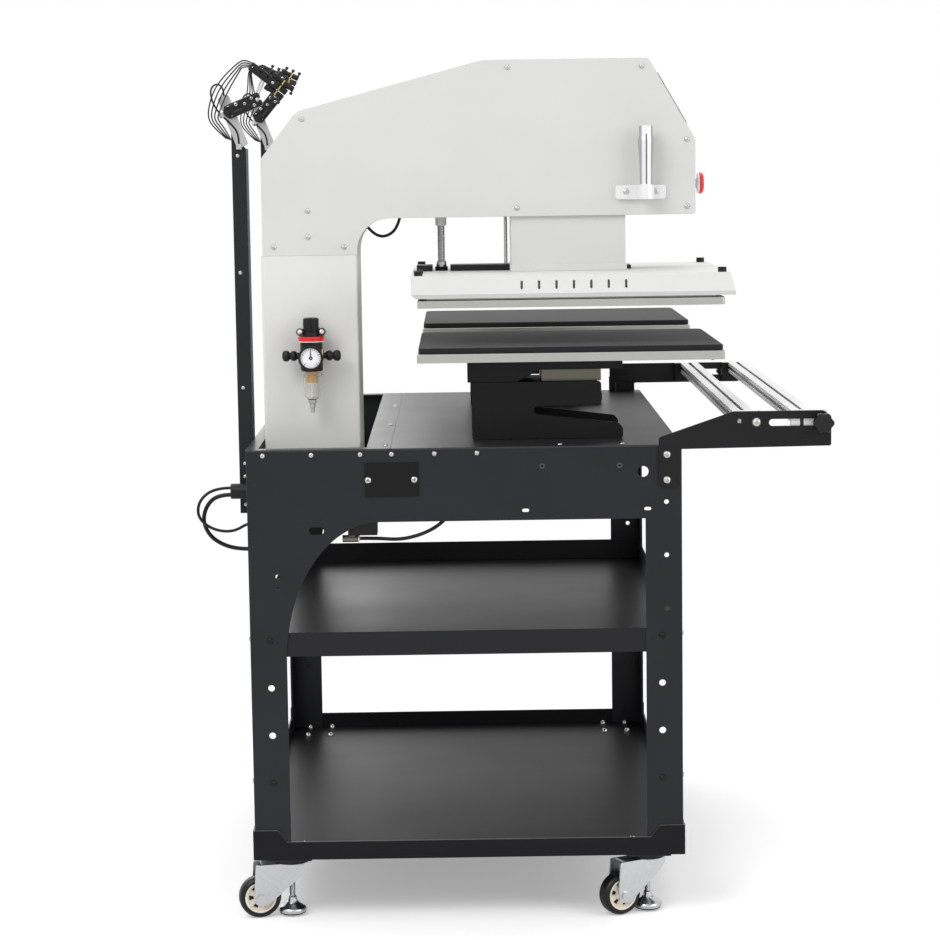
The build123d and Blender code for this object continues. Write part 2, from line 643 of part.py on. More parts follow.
axle_z = wheel_diameter / 2
fork_inner = wheel_width / 2 + fork_side_gap
fork_outer = fork_inner + fork_sheet
for end, side, x, y in caster_spots:
    name = caster_names[(end, side)]
    yaw = caster_yaw[(end, side)]
    # Local X of the fork points from the swivel to the wheel
    swing = Plane(origin=(x, y, 0), x_dir=(-cos(radians(yaw)), -sin(radians(yaw)), 0), z_dir=(0, 0, 1))
    wheel_at = swing.from_local_coords(Vector(caster_trail, 0, axle_z))
    across = swing.y_dir
    with BuildPart() as fork:
        for cheek in (-1, 1):
            cheek_plane = Plane(
                origin=swing.from_local_coords(Vector(0, cheek * fork_inner, 0)),
                x_dir=swing.x_dir,
                z_dir=across * cheek,
            )
            up = 1 if cheek_plane.y_dir.Z > 0 else -1
            with BuildSketch(cheek_plane) as cheek_face:
                with BuildLine():
                    FilletPolyline(
                        (-25.0, up * fork_top_z),
                        (-25.0, up * (fork_top_z - 10.0)),
                        (-12.0, up * (fork_top_z - 24.0)),
                        (caster_trail - 10.0, up * (axle_z - 14.0)),
                        (caster_trail + 9.0, up * (axle_z - 12.0)),
                        (caster_trail + 12.0, up * (axle_z + 4.0)),
                        (caster_trail + 8.0, up * fork_top_z),
                        radius=[3, 8, 8, 8, 8, 6, 3],
                        close=True,
                    )
                make_face()
            extrude(cheek_face.sketch, amount=fork_sheet)
        with BuildSketch(swing.offset(fork_top_z - fork_sheet)) as crown:
            with Locations((caster_trail / 2 - 14.0, 0)):
                RectangleRounded(caster_trail + 22.0, 2 * fork_outer, 3.0)
            Circle(bearing_diameter / 2 - 4.0)
        extrude(crown.sketch, amount=fork_sheet)
        bar((x, y, fork_top_z - 20), (x, y, fork_top_z + 1), stem_hole + 1.0, Mode.SUBTRACT)
        bar(
            tuple(wheel_at - across * (fork_outer + 3.5)),
            tuple(wheel_at + across * (fork_outer + 3.5)),
            axle_diameter / 2,
        )
        for cheek in (-1, 1):
            nut = Plane(origin=wheel_at + across * (cheek * fork_outer), z_dir=across * cheek)
            with BuildSketch(nut) as nut_face:
                RegularPolygon(7.0, 6)
            extrude(nut_face.sketch, amount=4.5)
    finish(fork, "fork_" + name)

    with BuildPart() as wheel:
        tread = Plane(origin=wheel_at - across * (wheel_width / 2), z_dir=across)
        rim_radius = wheel_diameter / 2 - tyre_thickness
        with BuildSketch(tread) as tyre_face:
            Circle(wheel_diameter / 2)
            Circle(rim_radius, mode=Mode.SUBTRACT)
        extrude(tyre_face.sketch, amount=wheel_width)
        fillet(wheel.edges().filter_by(GeomType.CIRCLE).group_by(SortBy.RADIUS)[-1], 5.0)
        with BuildSketch(tread.offset(2.0)) as rim_face:
            Circle(rim_radius)
            Circle(axle_diameter / 2 + pin_gap, mode=Mode.SUBTRACT)
            with PolarLocations(rim_radius - 7.5, 6):
                Circle(3.2, mode=Mode.SUBTRACT)
        extrude(rim_face.sketch, amount=wheel_width - 4.0)
        with BuildSketch(tread) as hub_face:
            Circle(9.0)
            Circle(axle_diameter / 2 + pin_gap, mode=Mode.SUBTRACT)
        extrude(hub_face.sketch, amount=wheel_width)
    finish(wheel, "wheel_" + name)

stem_top_z = base_z - fit
with BuildPart() as feet:
    for end, side, x, y in caster_spots:
        with BuildSketch(Plane(origin=(x, y, 0), x_dir=(1, 0, 0), z_dir=(0, -1, 0))) as half_foot:
            with BuildLine():
                Polyline(
                    (0, foot_lift),
                    (foot_diameter / 2 - 1.5, foot_lift),
                    (foot_diameter / 2, foot_lift + 1.5),
                    (foot_diameter / 2, foot_lift + foot_rim),
                    (foot_diameter / 2 - 8.0, foot_lift + foot_rim + foot_cone * 0.6),
                    (foot_stem / 2 + 5.0, foot_lift + foot_rim + foot_cone),
                    (foot_stem / 2 + 3.0, foot_lift + foot_rim + foot_cone + foot_dome),
                    (foot_stem / 2, foot_lift + foot_rim + foot_cone + foot_dome),
                    (foot_stem / 2, stem_top_z),
                    (0, stem_top_z),
                    close=True,
                )
            make_face()
        revolve(half_foot.sketch, axis=Axis((x, y, 0), (0, 0, 1)))
finish(feet, "levelling_feet")

# Laser posts behind the stand, with leaning top plates
post_depth, post_web, post_sheet = 50.0, 24.0, 3.0
post_height = 500.0  # above the table
post_top_z, post_bottom_z = table_z + post_height, apron_z - 3.0
top_plate_run, top_plate_rise, top_plate_width = 32.0, 84.0, 20.0
with BuildPart() as posts:
    for side in (NEAR, FAR):
        web_y = side * station_y - post_depth / 2
        side_plate(
            (
                (stand_rear, post_bottom_z),
                (stand_rear, post_top_z - 9.5),
                (stand_rear - post_web, post_top_z + 16.5),
                (stand_rear - post_web, post_bottom_z),
            ),
            (web_y, web_y + post_sheet),
        )
        block((stand_rear - post_sheet, stand_rear), (web_y, web_y + post_depth), (post_bottom_z, post_top_z - 9.5))
finish(posts, "laser_posts")

plate_foot = Vector(stand_rear - 4.5, 0, post_top_z - 6.0)
plate_tip = plate_foot + Vector(-top_plate_run, 0, top_plate_rise)
plate_side = Vector(top_plate_rise, 0, top_plate_run).normalized() * (top_plate_width / 2)
pivot_x, pivot_z = stand_rear - 25.0, table_z + 551.5
clip_size, clip_depth = 9.0, 3.8
wire_x, wire_z = stand_rear - 11.0, post_top_z - 1.5
wire_end_x, wire_end_z = wire_x - 23.0, wire_z + 79.0
with BuildPart() as top_plates:
    for side in (NEAR, FAR):
        face_y = side * station_y - post_depth / 2
        corners = (plate_foot - plate_side, plate_tip - plate_side, plate_tip + plate_side, plate_foot + plate_side)
        side_plate([(corner.X, corner.Z) for corner in corners], (face_y - post_sheet, face_y), (4, 6, 6, 4))
        clip_y = (face_y - post_sheet - clip_depth, face_y - post_sheet)
        for clip_x, clip_z in ((wire_x, wire_z), (wire_end_x, wire_end_z)):
            block((clip_x - clip_size / 2, clip_x + clip_size / 2), clip_y, (clip_z - clip_size, clip_z))
finish(top_plates, "laser_top_plates")

# Laser heads: a holder that tilts on the top plate, an arm and three barrels
holder_length, holder_width, holder_depth = 64.0, 24.0, 20.0
barrel_diameter, barrel_length, barrel_start = 10.0, 34.0, 12.0
head_length, head_height, head_depth = 58.0, 16.0, 14.0
link_diameter = 8.0
for side, side_name, tilt, head_tilt, head_shift in (
    (NEAR, "near", radians(22.0), radians(38.0), (60.0, 58.0)),
    (FAR, "far", radians(50.0), radians(25.0), (31.0, 82.0)),
):
    face_y = side * station_y - post_depth / 2 - post_sheet - fit
    turned = Plane(origin=(pivot_x, face_y, pivot_z), x_dir=(cos(tilt), 0, sin(tilt)), z_dir=(0, -1, 0))
    head_at = (pivot_x + head_shift[0], face_y - 7.0, pivot_z + head_shift[1])
    head_plane = Plane(origin=head_at, x_dir=(cos(head_tilt), 0, -sin(head_tilt)), z_dir=(0, -1, 0))
    with BuildPart() as laser_head:
        with BuildSketch(turned) as hub:
            Circle(9.0)
        extrude(hub.sketch, amount=holder_depth + 4.0)
        with BuildSketch(turned.offset(4.0)) as holder:
            with Locations((holder_length / 2 - 6.0, 0)):
                RectangleRounded(holder_length, holder_width, 8.0)
        extrude(holder.sketch, amount=holder_depth)
        link_foot = turned.from_local_coords(Vector(holder_length - 18.0, 0, 4.0 + holder_depth / 2))
        link_head = head_plane.from_local_coords(Vector(0, 0, head_depth / 2))
        bar(tuple(link_foot), tuple(link_head), link_diameter / 2)
        with BuildSketch(head_plane) as head_block:
            RectangleRounded(head_length, head_height, 4.0)
        extrude(head_block.sketch, amount=head_depth)
        for row in (-1, 0, 1):
            row_y = row * (barrel_diameter + 1.0)
            start = head_plane.from_local_coords(Vector(barrel_start, row_y, head_depth / 2))
            barrel_end = head_plane.from_local_coords(Vector(barrel_start + barrel_length, row_y, head_depth / 2))
            ring_end = head_plane.from_local_coords(Vector(barrel_start + 8.0, row_y, head_depth / 2))
            bar(tuple(start), tuple(barrel_end), barrel_diameter / 2)
            bar(tuple(start), tuple(ring_end), barrel_diameter / 2 + 1.0)
    finish(laser_head, "laser_head_" + side_name)

# Gland on the rear apron with the junction box under the slide bed
gland_out = 37.0
junction_x, junction_y, junction_z = (stand_rear + 12.0, stand_rear + 72.0), (-430.0, -330.0), (bed_z - 48.0, bed_z)
with BuildPart() as gland:
    bar((stand_rear - gland_out, gland_y, gland_z), (stand_rear + 4.0, gland_y, gland_z), gland_bore / 2 - 3)
    bar((stand_rear - gland_out, gland_y, gland_z), (stand_rear, gland_y, gland_z), gland_bore / 2)
    bar((stand_rear - 9.0, gland_y, gland_z), (stand_rear, gland_y, gland_z), gland_bore / 2 + 4)
    block(junction_x, junction_y, junction_z)
finish(gland, "rear_gland")

# Cables and hoses: every route is a list of points chosen along the real run
gland_face = stand_rear - gland_out
cable_runs = {
    "rear_cable_upper": (
        (
            (gland_face, -371.5, 717.0),
            (gland_face - 28.0, -371.5, 717.0),
            (gland_face - 54.0, -375.0, 697.0),
            (gland_face - 57.0, -379.0, 669.0),
            (gland_face - 33.0, -382.0, 648.0),
            (gland_face + 3.0, -384.0, 643.0),
            (gland_face + 31.0, -385.0, 660.0),
            (junction_x[0], -385.0, 660.0),
        ),
        5.0,
    ),
    "rear_cable_lower": (
        (
            (gland_face, -369.0, 705.0),
            (gland_face - 22.0, -369.0, 705.0),
            (gland_face - 42.0, -366.0, 688.0),
            (gland_face - 50.0, -362.0, 660.0),
            (gland_face - 38.0, -359.0, 632.0),
            (gland_face - 11.0, -357.0, 615.0),
            (gland_face + 20.0, -358.0, 610.0),
            (gland_face + 48.0, -360.0, 612.0),
            (gland_face + 65.0, -361.0, 629.0),
            (gland_face + 65.0, -361.0, junction_z[0]),
        ),
        7.0,
    ),
    "air_hose": (
        (
            (elbow_end_x, elbow_y, elbow_z),
            (elbow_end_x + 30.0, elbow_y, elbow_z),
            (elbow_end_x + 68.0, elbow_y - 2.0, elbow_z - 3.0),
            (elbow_end_x + 104.0, elbow_y - 3.0, elbow_z + 5.0),
            (elbow_end_x + 135.0, elbow_y - 5.0, elbow_z + 21.0),
            (valve_x, valve_y, elbow_z + 45.0),
            (valve_x, valve_y, valve_z),
        ),
        6.0,
    ),
}
for name, (points, diameter) in cable_runs.items():
    with BuildPart() as run:
        expected = cable(name, points, diameter)
    print(name, "volume ratio", round(run.part.volume / expected, 4))
    finish(run, name)

wire_diameter = 3.0
for side, side_name in ((NEAR, "near"), (FAR, "far")):
    wire_y = side * station_y - post_depth / 2 - post_sheet - clip_depth / 2
    with BuildPart() as wire:
        points = (
            (wire_x, wire_y, wire_z),
            (wire_x, wire_y, wire_z + 18.0),
            (wire_x - 13.0, wire_y, wire_z + 34.0),
            (wire_x - 31.0, wire_y, wire_z + 50.0),
            (wire_x - 43.0, wire_y, wire_z + 70.0),
            (wire_x - 46.0, wire_y, wire_z + 91.0),
            (wire_x - 35.0, wire_y, wire_z + 101.0),
            (wire_end_x, wire_y, wire_z + 93.0),
            (wire_end_x, wire_y, wire_end_z),
        )
        expected = cable("laser_wire_" + side_name, points, wire_diameter)
    print("volume ratio", round(wire.part.volume / expected, 4))
    finish(wire, "laser_wire_" + side_name)

# Shuttle: carriage on the linear rails, with the column on it
carriage_y = 95.0
carriage_rear, carriage_front = stand_rear + 12.0, cylinder_x + end_block / 2
runner_x, runner_y = 42.0, 60.0
yoke_z = cylinder_z + cylinder_bore / 2 + fit
with BuildPart() as carriage:
    plate_y = (-station_y - carriage_y, -station_y + carriage_y)
    block((carriage_rear, carriage_front), plate_y, (plate_z, carriage_z))
    for rail_at in guide_x:
        for end in (-1, 1):
            runner_mid = -station_y + end * (carriage_y - runner_y / 2)
            block(
                (rail_at - runner_x / 2, rail_at + runner_x / 2),
                (runner_mid - runner_y / 2, runner_mid + runner_y / 2),
                (guide_z + 5.0, plate_z),
            )
            block(
                (rail_at - guide_width / 2 - fit, rail_at + guide_width / 2 + fit),
                (runner_mid - runner_y / 2 - 1, runner_mid + runner_y / 2 + 1),
                (guide_z, guide_z + guide_height + fit),
                Mode.SUBTRACT,
            )
    block((cylinder_x - 20.0, cylinder_x + 20.0), (-station_y - 50.0, -station_y + 50.0), (yoke_z, plate_z))
finish(carriage, "carriage")

with BuildPart() as column:
    block((column_rear, column_front), (arm_near, arm_far), (carriage_z, joint_z))
    block(
        (column_rear + column_wall, column_front - column_wall),
        (arm_near + column_wall, arm_far - column_wall),
        (carriage_z - 1, joint_z + 1),
        Mode.SUBTRACT,
    )
    outer_corners = column.edges().filter_by(Axis.Z).filter_by(
        lambda edge: abs(abs(edge.center().X - column_x) - column_size / 2) < 0.01
    )
    fillet(outer_corners, 4.0)
finish(column, "column")

# Arm: a rim that follows the outline, closed by two side covers
chamfer_x, chamfer_z = arm_rear + 60.5, arm_z + 177.5
crest_x = column_front + 212.0
brow_x, brow_z = arm_nose - 77.0, arm_z + 124.0
arm_outline = (
    (arm_rear, joint_z),
    (arm_rear, arm_z + 100.0),
    (chamfer_x, chamfer_z),
    (crest_x, arm_top_z),
    (brow_x, arm_top_z),
    (arm_nose, brow_z),
    (arm_nose, arm_z),
    (column_front, arm_z),
    (column_front, joint_z),
)
arm_radii = (0, 14, 30, 60, 8, 10, 6, throat_radius, 0)
conduit_x, conduit_diameter = stand_x - 33.0, 13.0
conduit_collar = 19.0
rod_x, rod_diameter = neck_centre - neck_x / 2 - 8.0, 6.0
throat_centre = Vector(column_front + throat_radius, -station_y, arm_z - throat_radius)
cable_diameter = 5.0
cable_start = throat_centre + Vector(-0.71, 0, 0.71) * (throat_radius + arm_wall + 1.0)
arm_cable_route = (
    tuple(cable_start),
    tuple(cable_start + Vector(11.4, 0, -14.4)),
    tuple(cable_start + Vector(29.4, 0.6, -21.4)),
    tuple(cable_start + Vector(47.4, 0.8, -12.4)),
    tuple(cable_start + Vector(56.4, 0.3, 5.6)),
    tuple(cable_start + Vector(59.4, 0, 18.6)),
)
lugs = (
    (arm_rear + 19.0, joint_z + 15.0),
    (column_front - 21.5, joint_z + 14.0),
    (chamfer_x + 9.0, chamfer_z - 12.5),
    (crest_x + 41.0, arm_top_z - 13.0),
    (brow_x - 11.0, arm_top_z - 13.5),
    (arm_nose - 14.0, brow_z - 1.0),
    (arm_nose - 14.0, arm_z + 13.0),
    (rod_x + 18.1, arm_z + 14.0),
)
rib_thickness = 6.0
with BuildPart() as arm:
    inner_y = (arm_near + arm_skin, arm_far - arm_skin)
    with BuildSketch(Plane.XZ.offset(-inner_y[1])) as rim:
        with BuildLine():
            FilletPolyline(*arm_outline, radius=arm_radii, close=True)
        make_face()
        offset(amount=-arm_wall, kind=Kind.INTERSECTION, mode=Mode.SUBTRACT)
    extrude(rim.sketch, amount=inner_y[1] - inner_y[0])
    for lug_x, lug_z in lugs:
        bar((lug_x, inner_y[0], lug_z), (lug_x, inner_y[1], lug_z), 7.0)
    neck_room_x, neck_room_y = neck_x / 2 + fit + 0.2, neck_y / 2 + fit + 0.2
    neck_hole_y = (-station_y - neck_room_y, -station_y + neck_room_y)
    block((neck_centre - neck_room_x, neck_centre + neck_room_x), neck_hole_y, (arm_z - 1, arm_z + 30.0), Mode.SUBTRACT)
    bar((conduit_x, -station_y, arm_z - 1), (conduit_x, -station_y, arm_z + 6), conduit_diameter / 2 + 1.0, Mode.SUBTRACT)
    bar((rod_x, -station_y, arm_z - 1), (rod_x, -station_y, arm_z + 6), rod_diameter / 2 + 1.0, Mode.SUBTRACT)
    with BuildSketch(Plane.XY.offset(arm_z - 15.0)) as collar:
        with Locations((conduit_x, -station_y)):
            Circle(conduit_collar / 2)
            Circle(conduit_diameter / 2 + 1.0, mode=Mode.SUBTRACT)
    extrude(collar.sketch, amount=15.0)
    cable_hole = cable_diameter / 2 + cable_gap
    hole_end = (Vector(*arm_cable_route[0]) + Vector(*arm_cable_route[1])) * 0.5
    bar(arm_cable_route[0], tuple(hole_end), cable_hole, Mode.SUBTRACT)
    exit_start, exit_end = Vector(*arm_cable_route[4]), Vector(*arm_cable_route[5])
    bar(tuple(exit_start), tuple(exit_end + (exit_end - exit_start)), cable_hole, Mode.SUBTRACT)
finish(arm, "arm_frame")

with BuildPart() as side_covers:
    side_plate(arm_outline, (arm_near, arm_near + arm_skin), arm_radii)
    side_plate(arm_outline, (arm_far - arm_skin, arm_far), arm_radii)
finish(side_covers, "arm_side_covers")

with BuildPart() as arm_cable:
    expected = cable("arm_cable", arm_cable_route, cable_diameter)
print("arm_cable volume ratio", round(arm_cable.part.volume / expected, 4))
finish(arm_cable, "arm_cable")

# Press cylinder inside the arm, over the neck
press_radius, press_wall, press_flange = 50.0, 8.0, 12.0
roof_z = arm_top_z - arm_wall
press_bottom_z = arm_z + neck_engaged + 16.0
rod_radius = 12.5
with BuildPart() as press_cylinder:
    block(
        (neck_centre - 60.0, neck_centre + 60.0),
        (-station_y - 60.0, -station_y + 60.0),
        (roof_z - press_flange, roof_z),
    )
    bar((neck_centre, -station_y, press_bottom_z), (neck_centre, -station_y, roof_z - press_flange), press_radius)
    bore_z = (press_bottom_z + 12.0, roof_z - press_flange)
    bar(
        (neck_centre, -station_y, bore_z[0]),
        (neck_centre, -station_y, bore_z[1]),
        press_radius - press_wall,
        Mode.SUBTRACT,
    )
    bar(
        (neck_centre, -station_y, press_bottom_z - 1),
        (neck_centre, -station_y, bore_z[0] + 1),
        rod_radius + fit,
        Mode.SUBTRACT,
    )
finish(press_cylinder, "press_cylinder")

# Air filter on the column's near face, with its bowl, gauge and knob
filter_x, filter_y = column_x + 2.5, arm_near - 30.0
filter_z = table_z + 148.5
body_half = 19.0
body_z = (filter_z - 25.0, filter_z + 24.0)
ring_z = body_z[1] + 8.0
neck_z = ring_z + 8.5
lug_sheet = 3.0
with BuildPart() as filter_body:
    block((filter_x - body_half, filter_x + body_half), (filter_y - body_half, filter_y + body_half), body_z)
    fillet(filter_body.edges().filter_by(Axis.Z), 6.0)
    bar((filter_x, filter_y, body_z[1]), (filter_x, filter_y, ring_z), 21.5)
    bar((filter_x, filter_y, ring_z), (filter_x, filter_y, neck_z), 14.0)
    for end in (-1, 1):
        bar((filter_x + end * 17.0, filter_y, filter_z), (filter_x + end * 32.0, filter_y, filter_z), 7.0)
        bar((filter_x + end * 26.0, filter_y, filter_z), (filter_x + end * 36.0, filter_y, filter_z), 9.0)
        bar((filter_x + end * 36.0, filter_y, filter_z), (filter_x + end * 48.5, filter_y, filter_z), 10.5)
    lug_z = (ring_z + 1.0, ring_z + 5.0)
    block((filter_x - 22.0, filter_x + 22.0), (filter_y, arm_near), lug_z)
    block((filter_x - 22.0, filter_x + 22.0), (arm_near - lug_sheet, arm_near), (lug_z[0] - 6.0, lug_z[1] + 8.0))
finish(filter_body, "filter_body")

bowl_radius, bowl_z = 14.0, filter_z - 73.0
with BuildPart() as filter_bowl:
    with BuildSketch(Plane(origin=(filter_x, filter_y, 0), x_dir=(1, 0, 0), z_dir=(0, -1, 0))) as bowl_half:
        with BuildLine():
            Polyline(
                (0, body_z[0]),
                (bowl_radius + 4.0, body_z[0]),
                (bowl_radius + 4.0, body_z[0] - 7.0),
                (bowl_radius, body_z[0] - 9.0),
                (bowl_radius - 1.5, bowl_z + 7.0),
                (bowl_radius - 6.0, bowl_z),
                (5.0, bowl_z),
                (4.0, bowl_z - 22.0),
                (0, bowl_z - 22.0),
                close=True,
            )
        make_face()
    revolve(bowl_half.sketch, axis=Axis((filter_x, filter_y, 0), (0, 0, 1)))
finish(filter_bowl, "filter_bowl")

gauge_radius, gauge_z = 20.5, filter_z - 2.0
gauge_back, gauge_front = filter_y - body_half, filter_y - body_half - 13.0
dial_y = gauge_front + 5.0
with BuildPart() as gauge:
    bar((filter_x, gauge_back, gauge_z), (filter_x, gauge_front, gauge_z), gauge_radius)
    bar((filter_x, dial_y, gauge_z), (filter_x, gauge_front - 1, gauge_z), gauge_radius - 2.5, Mode.SUBTRACT)
    bar((filter_x, dial_y + 1, gauge_z), (filter_x, dial_y - 2.0, gauge_z), 1.2)
finish(gauge, "pressure_gauge")

with BuildPart() as needle:
    hub_plane = Plane(origin=(filter_x, dial_y - fit, gauge_z), x_dir=(1, 0, 0), z_dir=(0, -1, 0))
    with BuildSketch(hub_plane) as needle_face:
        Circle(3.0)
        with Locations((0, 5.0)):
            Rectangle(1.4, 18.0)
        Circle(1.2 + fit, mode=Mode.SUBTRACT)
    extrude(needle_face.sketch, amount=1.2)
finish(needle, "gauge_needle")

knob_top_z = neck_z + fit + 22.0
with BuildPart() as regulator_knob:
    with BuildSketch(Plane.XY.offset(neck_z + fit)) as knob_face:
        with Locations((filter_x, filter_y)):
            Circle(13.0)
            with PolarLocations(14.0, 16):
                Circle(1.6, mode=Mode.SUBTRACT)
    extrude(knob_face.sketch, amount=22.0)
    top_edges = regulator_knob.faces().sort_by(Axis.Z)[-1].edges()
    chamfer(top_edges, 0.8)
finish(regulator_knob, "regulator_knob")

# Control display on the sloped face and the emergency stop on the nose
slope = Vector(arm_nose - brow_x, 0, brow_z - arm_top_z)
slope_out = Vector(-slope.Z, 0, slope.X).normalized()
slope_mid = Vector((arm_nose + brow_x) / 2, -station_y, (brow_z + arm_top_z) / 2)
display_length, display_width, display_sheet = 96.0, 116.0, 3.0
stop_z, stop_radius, stop_travel = arm_z + 50.0, 18.0, 4.0
collar_length = 5.0
stem_radius = 8.0
with BuildPart() as front_panel:
    display_plane = Plane(origin=slope_mid, x_dir=(0, 1, 0), z_dir=slope_out)
    with BuildSketch(display_plane) as display_face:
        RectangleRounded(display_width, display_length, 6.0)
    extrude(display_face.sketch, amount=display_sheet)
    with BuildSketch(display_plane.offset(display_sheet)) as screen_face:
        with Locations((0, 12.0)):
            RectangleRounded(84.0, 50.0, 3.0)
    extrude(screen_face.sketch, amount=-1.2, mode=Mode.SUBTRACT)
    bar((arm_nose, -station_y, stop_z), (arm_nose + collar_length, -station_y, stop_z), stop_radius + 2.0)
    bar((arm_nose + 0.6, -station_y, stop_z), (arm_nose + collar_length + 1, -station_y, stop_z), stem_radius + fit, Mode.SUBTRACT)
finish(front_panel, "front_panel")

mushroom_x = arm_nose + collar_length + stop_travel + 0.5
with BuildPart() as estop:
    bar((arm_nose + stop_travel + 0.9, -station_y, stop_z), (mushroom_x, -station_y, stop_z), stem_radius)
    bar((mushroom_x, -station_y, stop_z), (mushroom_x + 11.5, -station_y, stop_z), stop_radius)
    fillet(estop.edges().filter_by(GeomType.CIRCLE).sort_by(Axis.X)[-1], 5.0)
finish(estop, "estop_button")

# Tube holder clamped to the near side cover
tube_x, tube_y = arm_nose - 83.5, arm_near - 24.0
tube_z, tube_top_z = arm_z + 50.0, arm_z + 146.0
clamp_z = (arm_z + 26.0, arm_z + 49.0)
tube_bore = 17.0
clamp_sheet = 8.0
with BuildPart() as tube_holder:
    block((tube_x - 49.5, tube_x + 33.5), (arm_near - clamp_sheet, arm_near), clamp_z)
    fillet(tube_holder.edges().filter_by(Axis.Y), 5.0)
    bar((tube_x, tube_y, clamp_z[0]), (tube_x, tube_y, clamp_z[1]), 13.5)
    block((tube_x - 9.0, tube_x + 9.0), (tube_y, arm_near), clamp_z)
    with BuildSketch(Plane(origin=(tube_x, tube_y, 0), x_dir=(1, 0, 0), z_dir=(0, -1, 0))) as tube_half:
        with BuildLine():
            Polyline(
                (0, clamp_z[1]),
                (10.2, clamp_z[1]),
                (10.6, tube_z + 30.0),
                (13.0, tube_top_z - 26.0),
                (13.0, tube_top_z - 22.0),
                (11.2, tube_top_z - 16.0),
                (11.2, tube_top_z),
                (0, tube_top_z),
                close=True,
            )
        make_face()
    revolve(tube_half.sketch, axis=Axis((tube_x, tube_y, 0), (0, 0, 1)))
    bar((tube_x, tube_y, clamp_z[0] + 6.0), (tube_x, tube_y, tube_top_z + 1), tube_bore / 2, Mode.SUBTRACT)
finish(tube_holder, "tube_holder")

# Screws of the shuttle: side covers, sockets at the joint, tube clamp and filter lugs
cover_screw, clamp_screw, lug_screw = 9.0, 10.5, 6.5
joint_sockets = ((arm_rear + 76.5, arm_z + 14.0), (arm_rear + 76.0, arm_z - 29.0))
cover_head = screw_head(cover_screw)
clamp_head = screw_head(clamp_screw)
lug_head = screw_head(lug_screw, 2.4)
cover_seats = []
for face_y, direction in ((arm_near, (0, -1, 0)), (arm_far, (0, 1, 0))):
    cover_seats += seats([(x, face_y, z) for x, z in lugs + joint_sockets], direction)
clamp_spots = [(tube_x + shift, arm_near - clamp_sheet, clamp_z[0] + 12.5) for shift in (-32.0, 18.0)]
lug_spots = [(filter_x + shift, arm_near - lug_sheet, lug_z[1] + 4.5) for shift in (-16.0, 16.0)]
with BuildPart() as shuttle_screws:
    with Locations(cover_seats):
        add(cover_head)
    with Locations(seats(clamp_spots, (0, -1, 0))):
        add(clamp_head)
    with Locations(seats(lug_spots, (0, -1, 0))):
        add(lug_head)
finish(shuttle_screws, "shuttle_screws")

# Head: neck box with the piston rod, cover with vents, heated plate and fittings
neck_top_z = arm_z + neck_engaged
piston_z = press_bottom_z + 104.0
with BuildPart() as head_box:
    neck_span_x = (neck_centre - neck_x / 2, neck_centre + neck_x / 2)
    neck_span_y = (-station_y - neck_y / 2, -station_y + neck_y / 2)
    block(neck_span_x, neck_span_y, (head_z, neck_top_z))
    block(
        (neck_span_x[0] - 2.0, neck_span_x[1] + 2.0),
        (neck_span_y[0] - 4.0, neck_span_y[1] + 4.0),
        (head_z, head_z + head_flange),
    )
    block(
        (neck_span_x[0] + neck_wall, neck_span_x[1] - neck_wall),
        (neck_span_y[0] + neck_wall, neck_span_y[1] - neck_wall),
        (head_z - 1, neck_top_z - neck_wall),
        Mode.SUBTRACT,
    )
    bar((neck_centre, -station_y, neck_top_z), (neck_centre, -station_y, piston_z), rod_radius)
    bar(
        (neck_centre, -station_y, piston_z),
        (neck_centre, -station_y, piston_z + 18.0),
        press_radius - press_wall - fit,
    )
finish(head_box, "head_box")

cover_rear, cover_front = station_x - cover_x / 2, station_x + cover_x / 2
cover_near, cover_far = -station_y - cover_y / 2, -station_y + cover_y / 2


def cover_outline(inset, bottom):
    """Corner points of the head cover's section, moved in by a wall."""
    return (
        (cover_rear + inset + cover_chamfer, bottom),
        (cover_rear + inset, bottom + cover_chamfer),
        (cover_rear + inset, head_z - inset),
        (cover_front - inset, head_z - inset),
        (cover_front + cover_nose - inset, bottom),
    )


with BuildPart() as cover_hollow:
    side_plate(cover_outline(cover_sheet, cover_z), (cover_near + cover_sheet, cover_far - cover_sheet))
    chamfer(cover_hollow.faces().sort_by(Axis.Z)[0].edges().filter_by(Axis.X), cover_chamfer)

with BuildPart() as head_cover:
    side_plate(cover_outline(0.0, cover_z), (cover_near, cover_far))
    chamfer(head_cover.faces().sort_by(Axis.Z)[0].edges().filter_by(Axis.X), cover_chamfer)
    add(cover_hollow.part, mode=Mode.SUBTRACT)
    for index in range(vent_count):
        vent_x = station_x - 79.1 + index * vent_pitch
        for vent_y in ((cover_near - 1, cover_near + cover_sheet + 1), (cover_far - cover_sheet - 1, cover_far + 1)):
            with BuildSketch(Plane.XZ.offset(-vent_y[1])) as vent:
                with Locations((vent_x, head_z - 16.0)):
                    SlotOverall(vent_height, vent_width, rotation=90)
            extrude(vent.sketch, amount=vent_y[1] - vent_y[0], mode=Mode.SUBTRACT)
finish(head_cover, "head_cover")

insulation_inset = 14.0
with BuildPart() as heat_plate:
    plate_x = (station_x - heat_plate_x / 2 + 1.0, station_x + heat_plate_x / 2 + 1.0)
    plate_y = (-station_y - heat_plate_y / 2, -station_y + heat_plate_y / 2)
    block(plate_x, plate_y, (heat_plate_z, heat_plate_z + heat_plate_thickness))
    fillet(heat_plate.edges().filter_by(Axis.Z), 4.0)
    block(
        (plate_x[0] + insulation_inset, plate_x[1] - insulation_inset),
        (plate_y[0] + insulation_inset, plate_y[1] - insulation_inset),
        (heat_plate_z + heat_plate_thickness, head_z - cover_sheet),
    )
finish(heat_plate, "heat_plate")

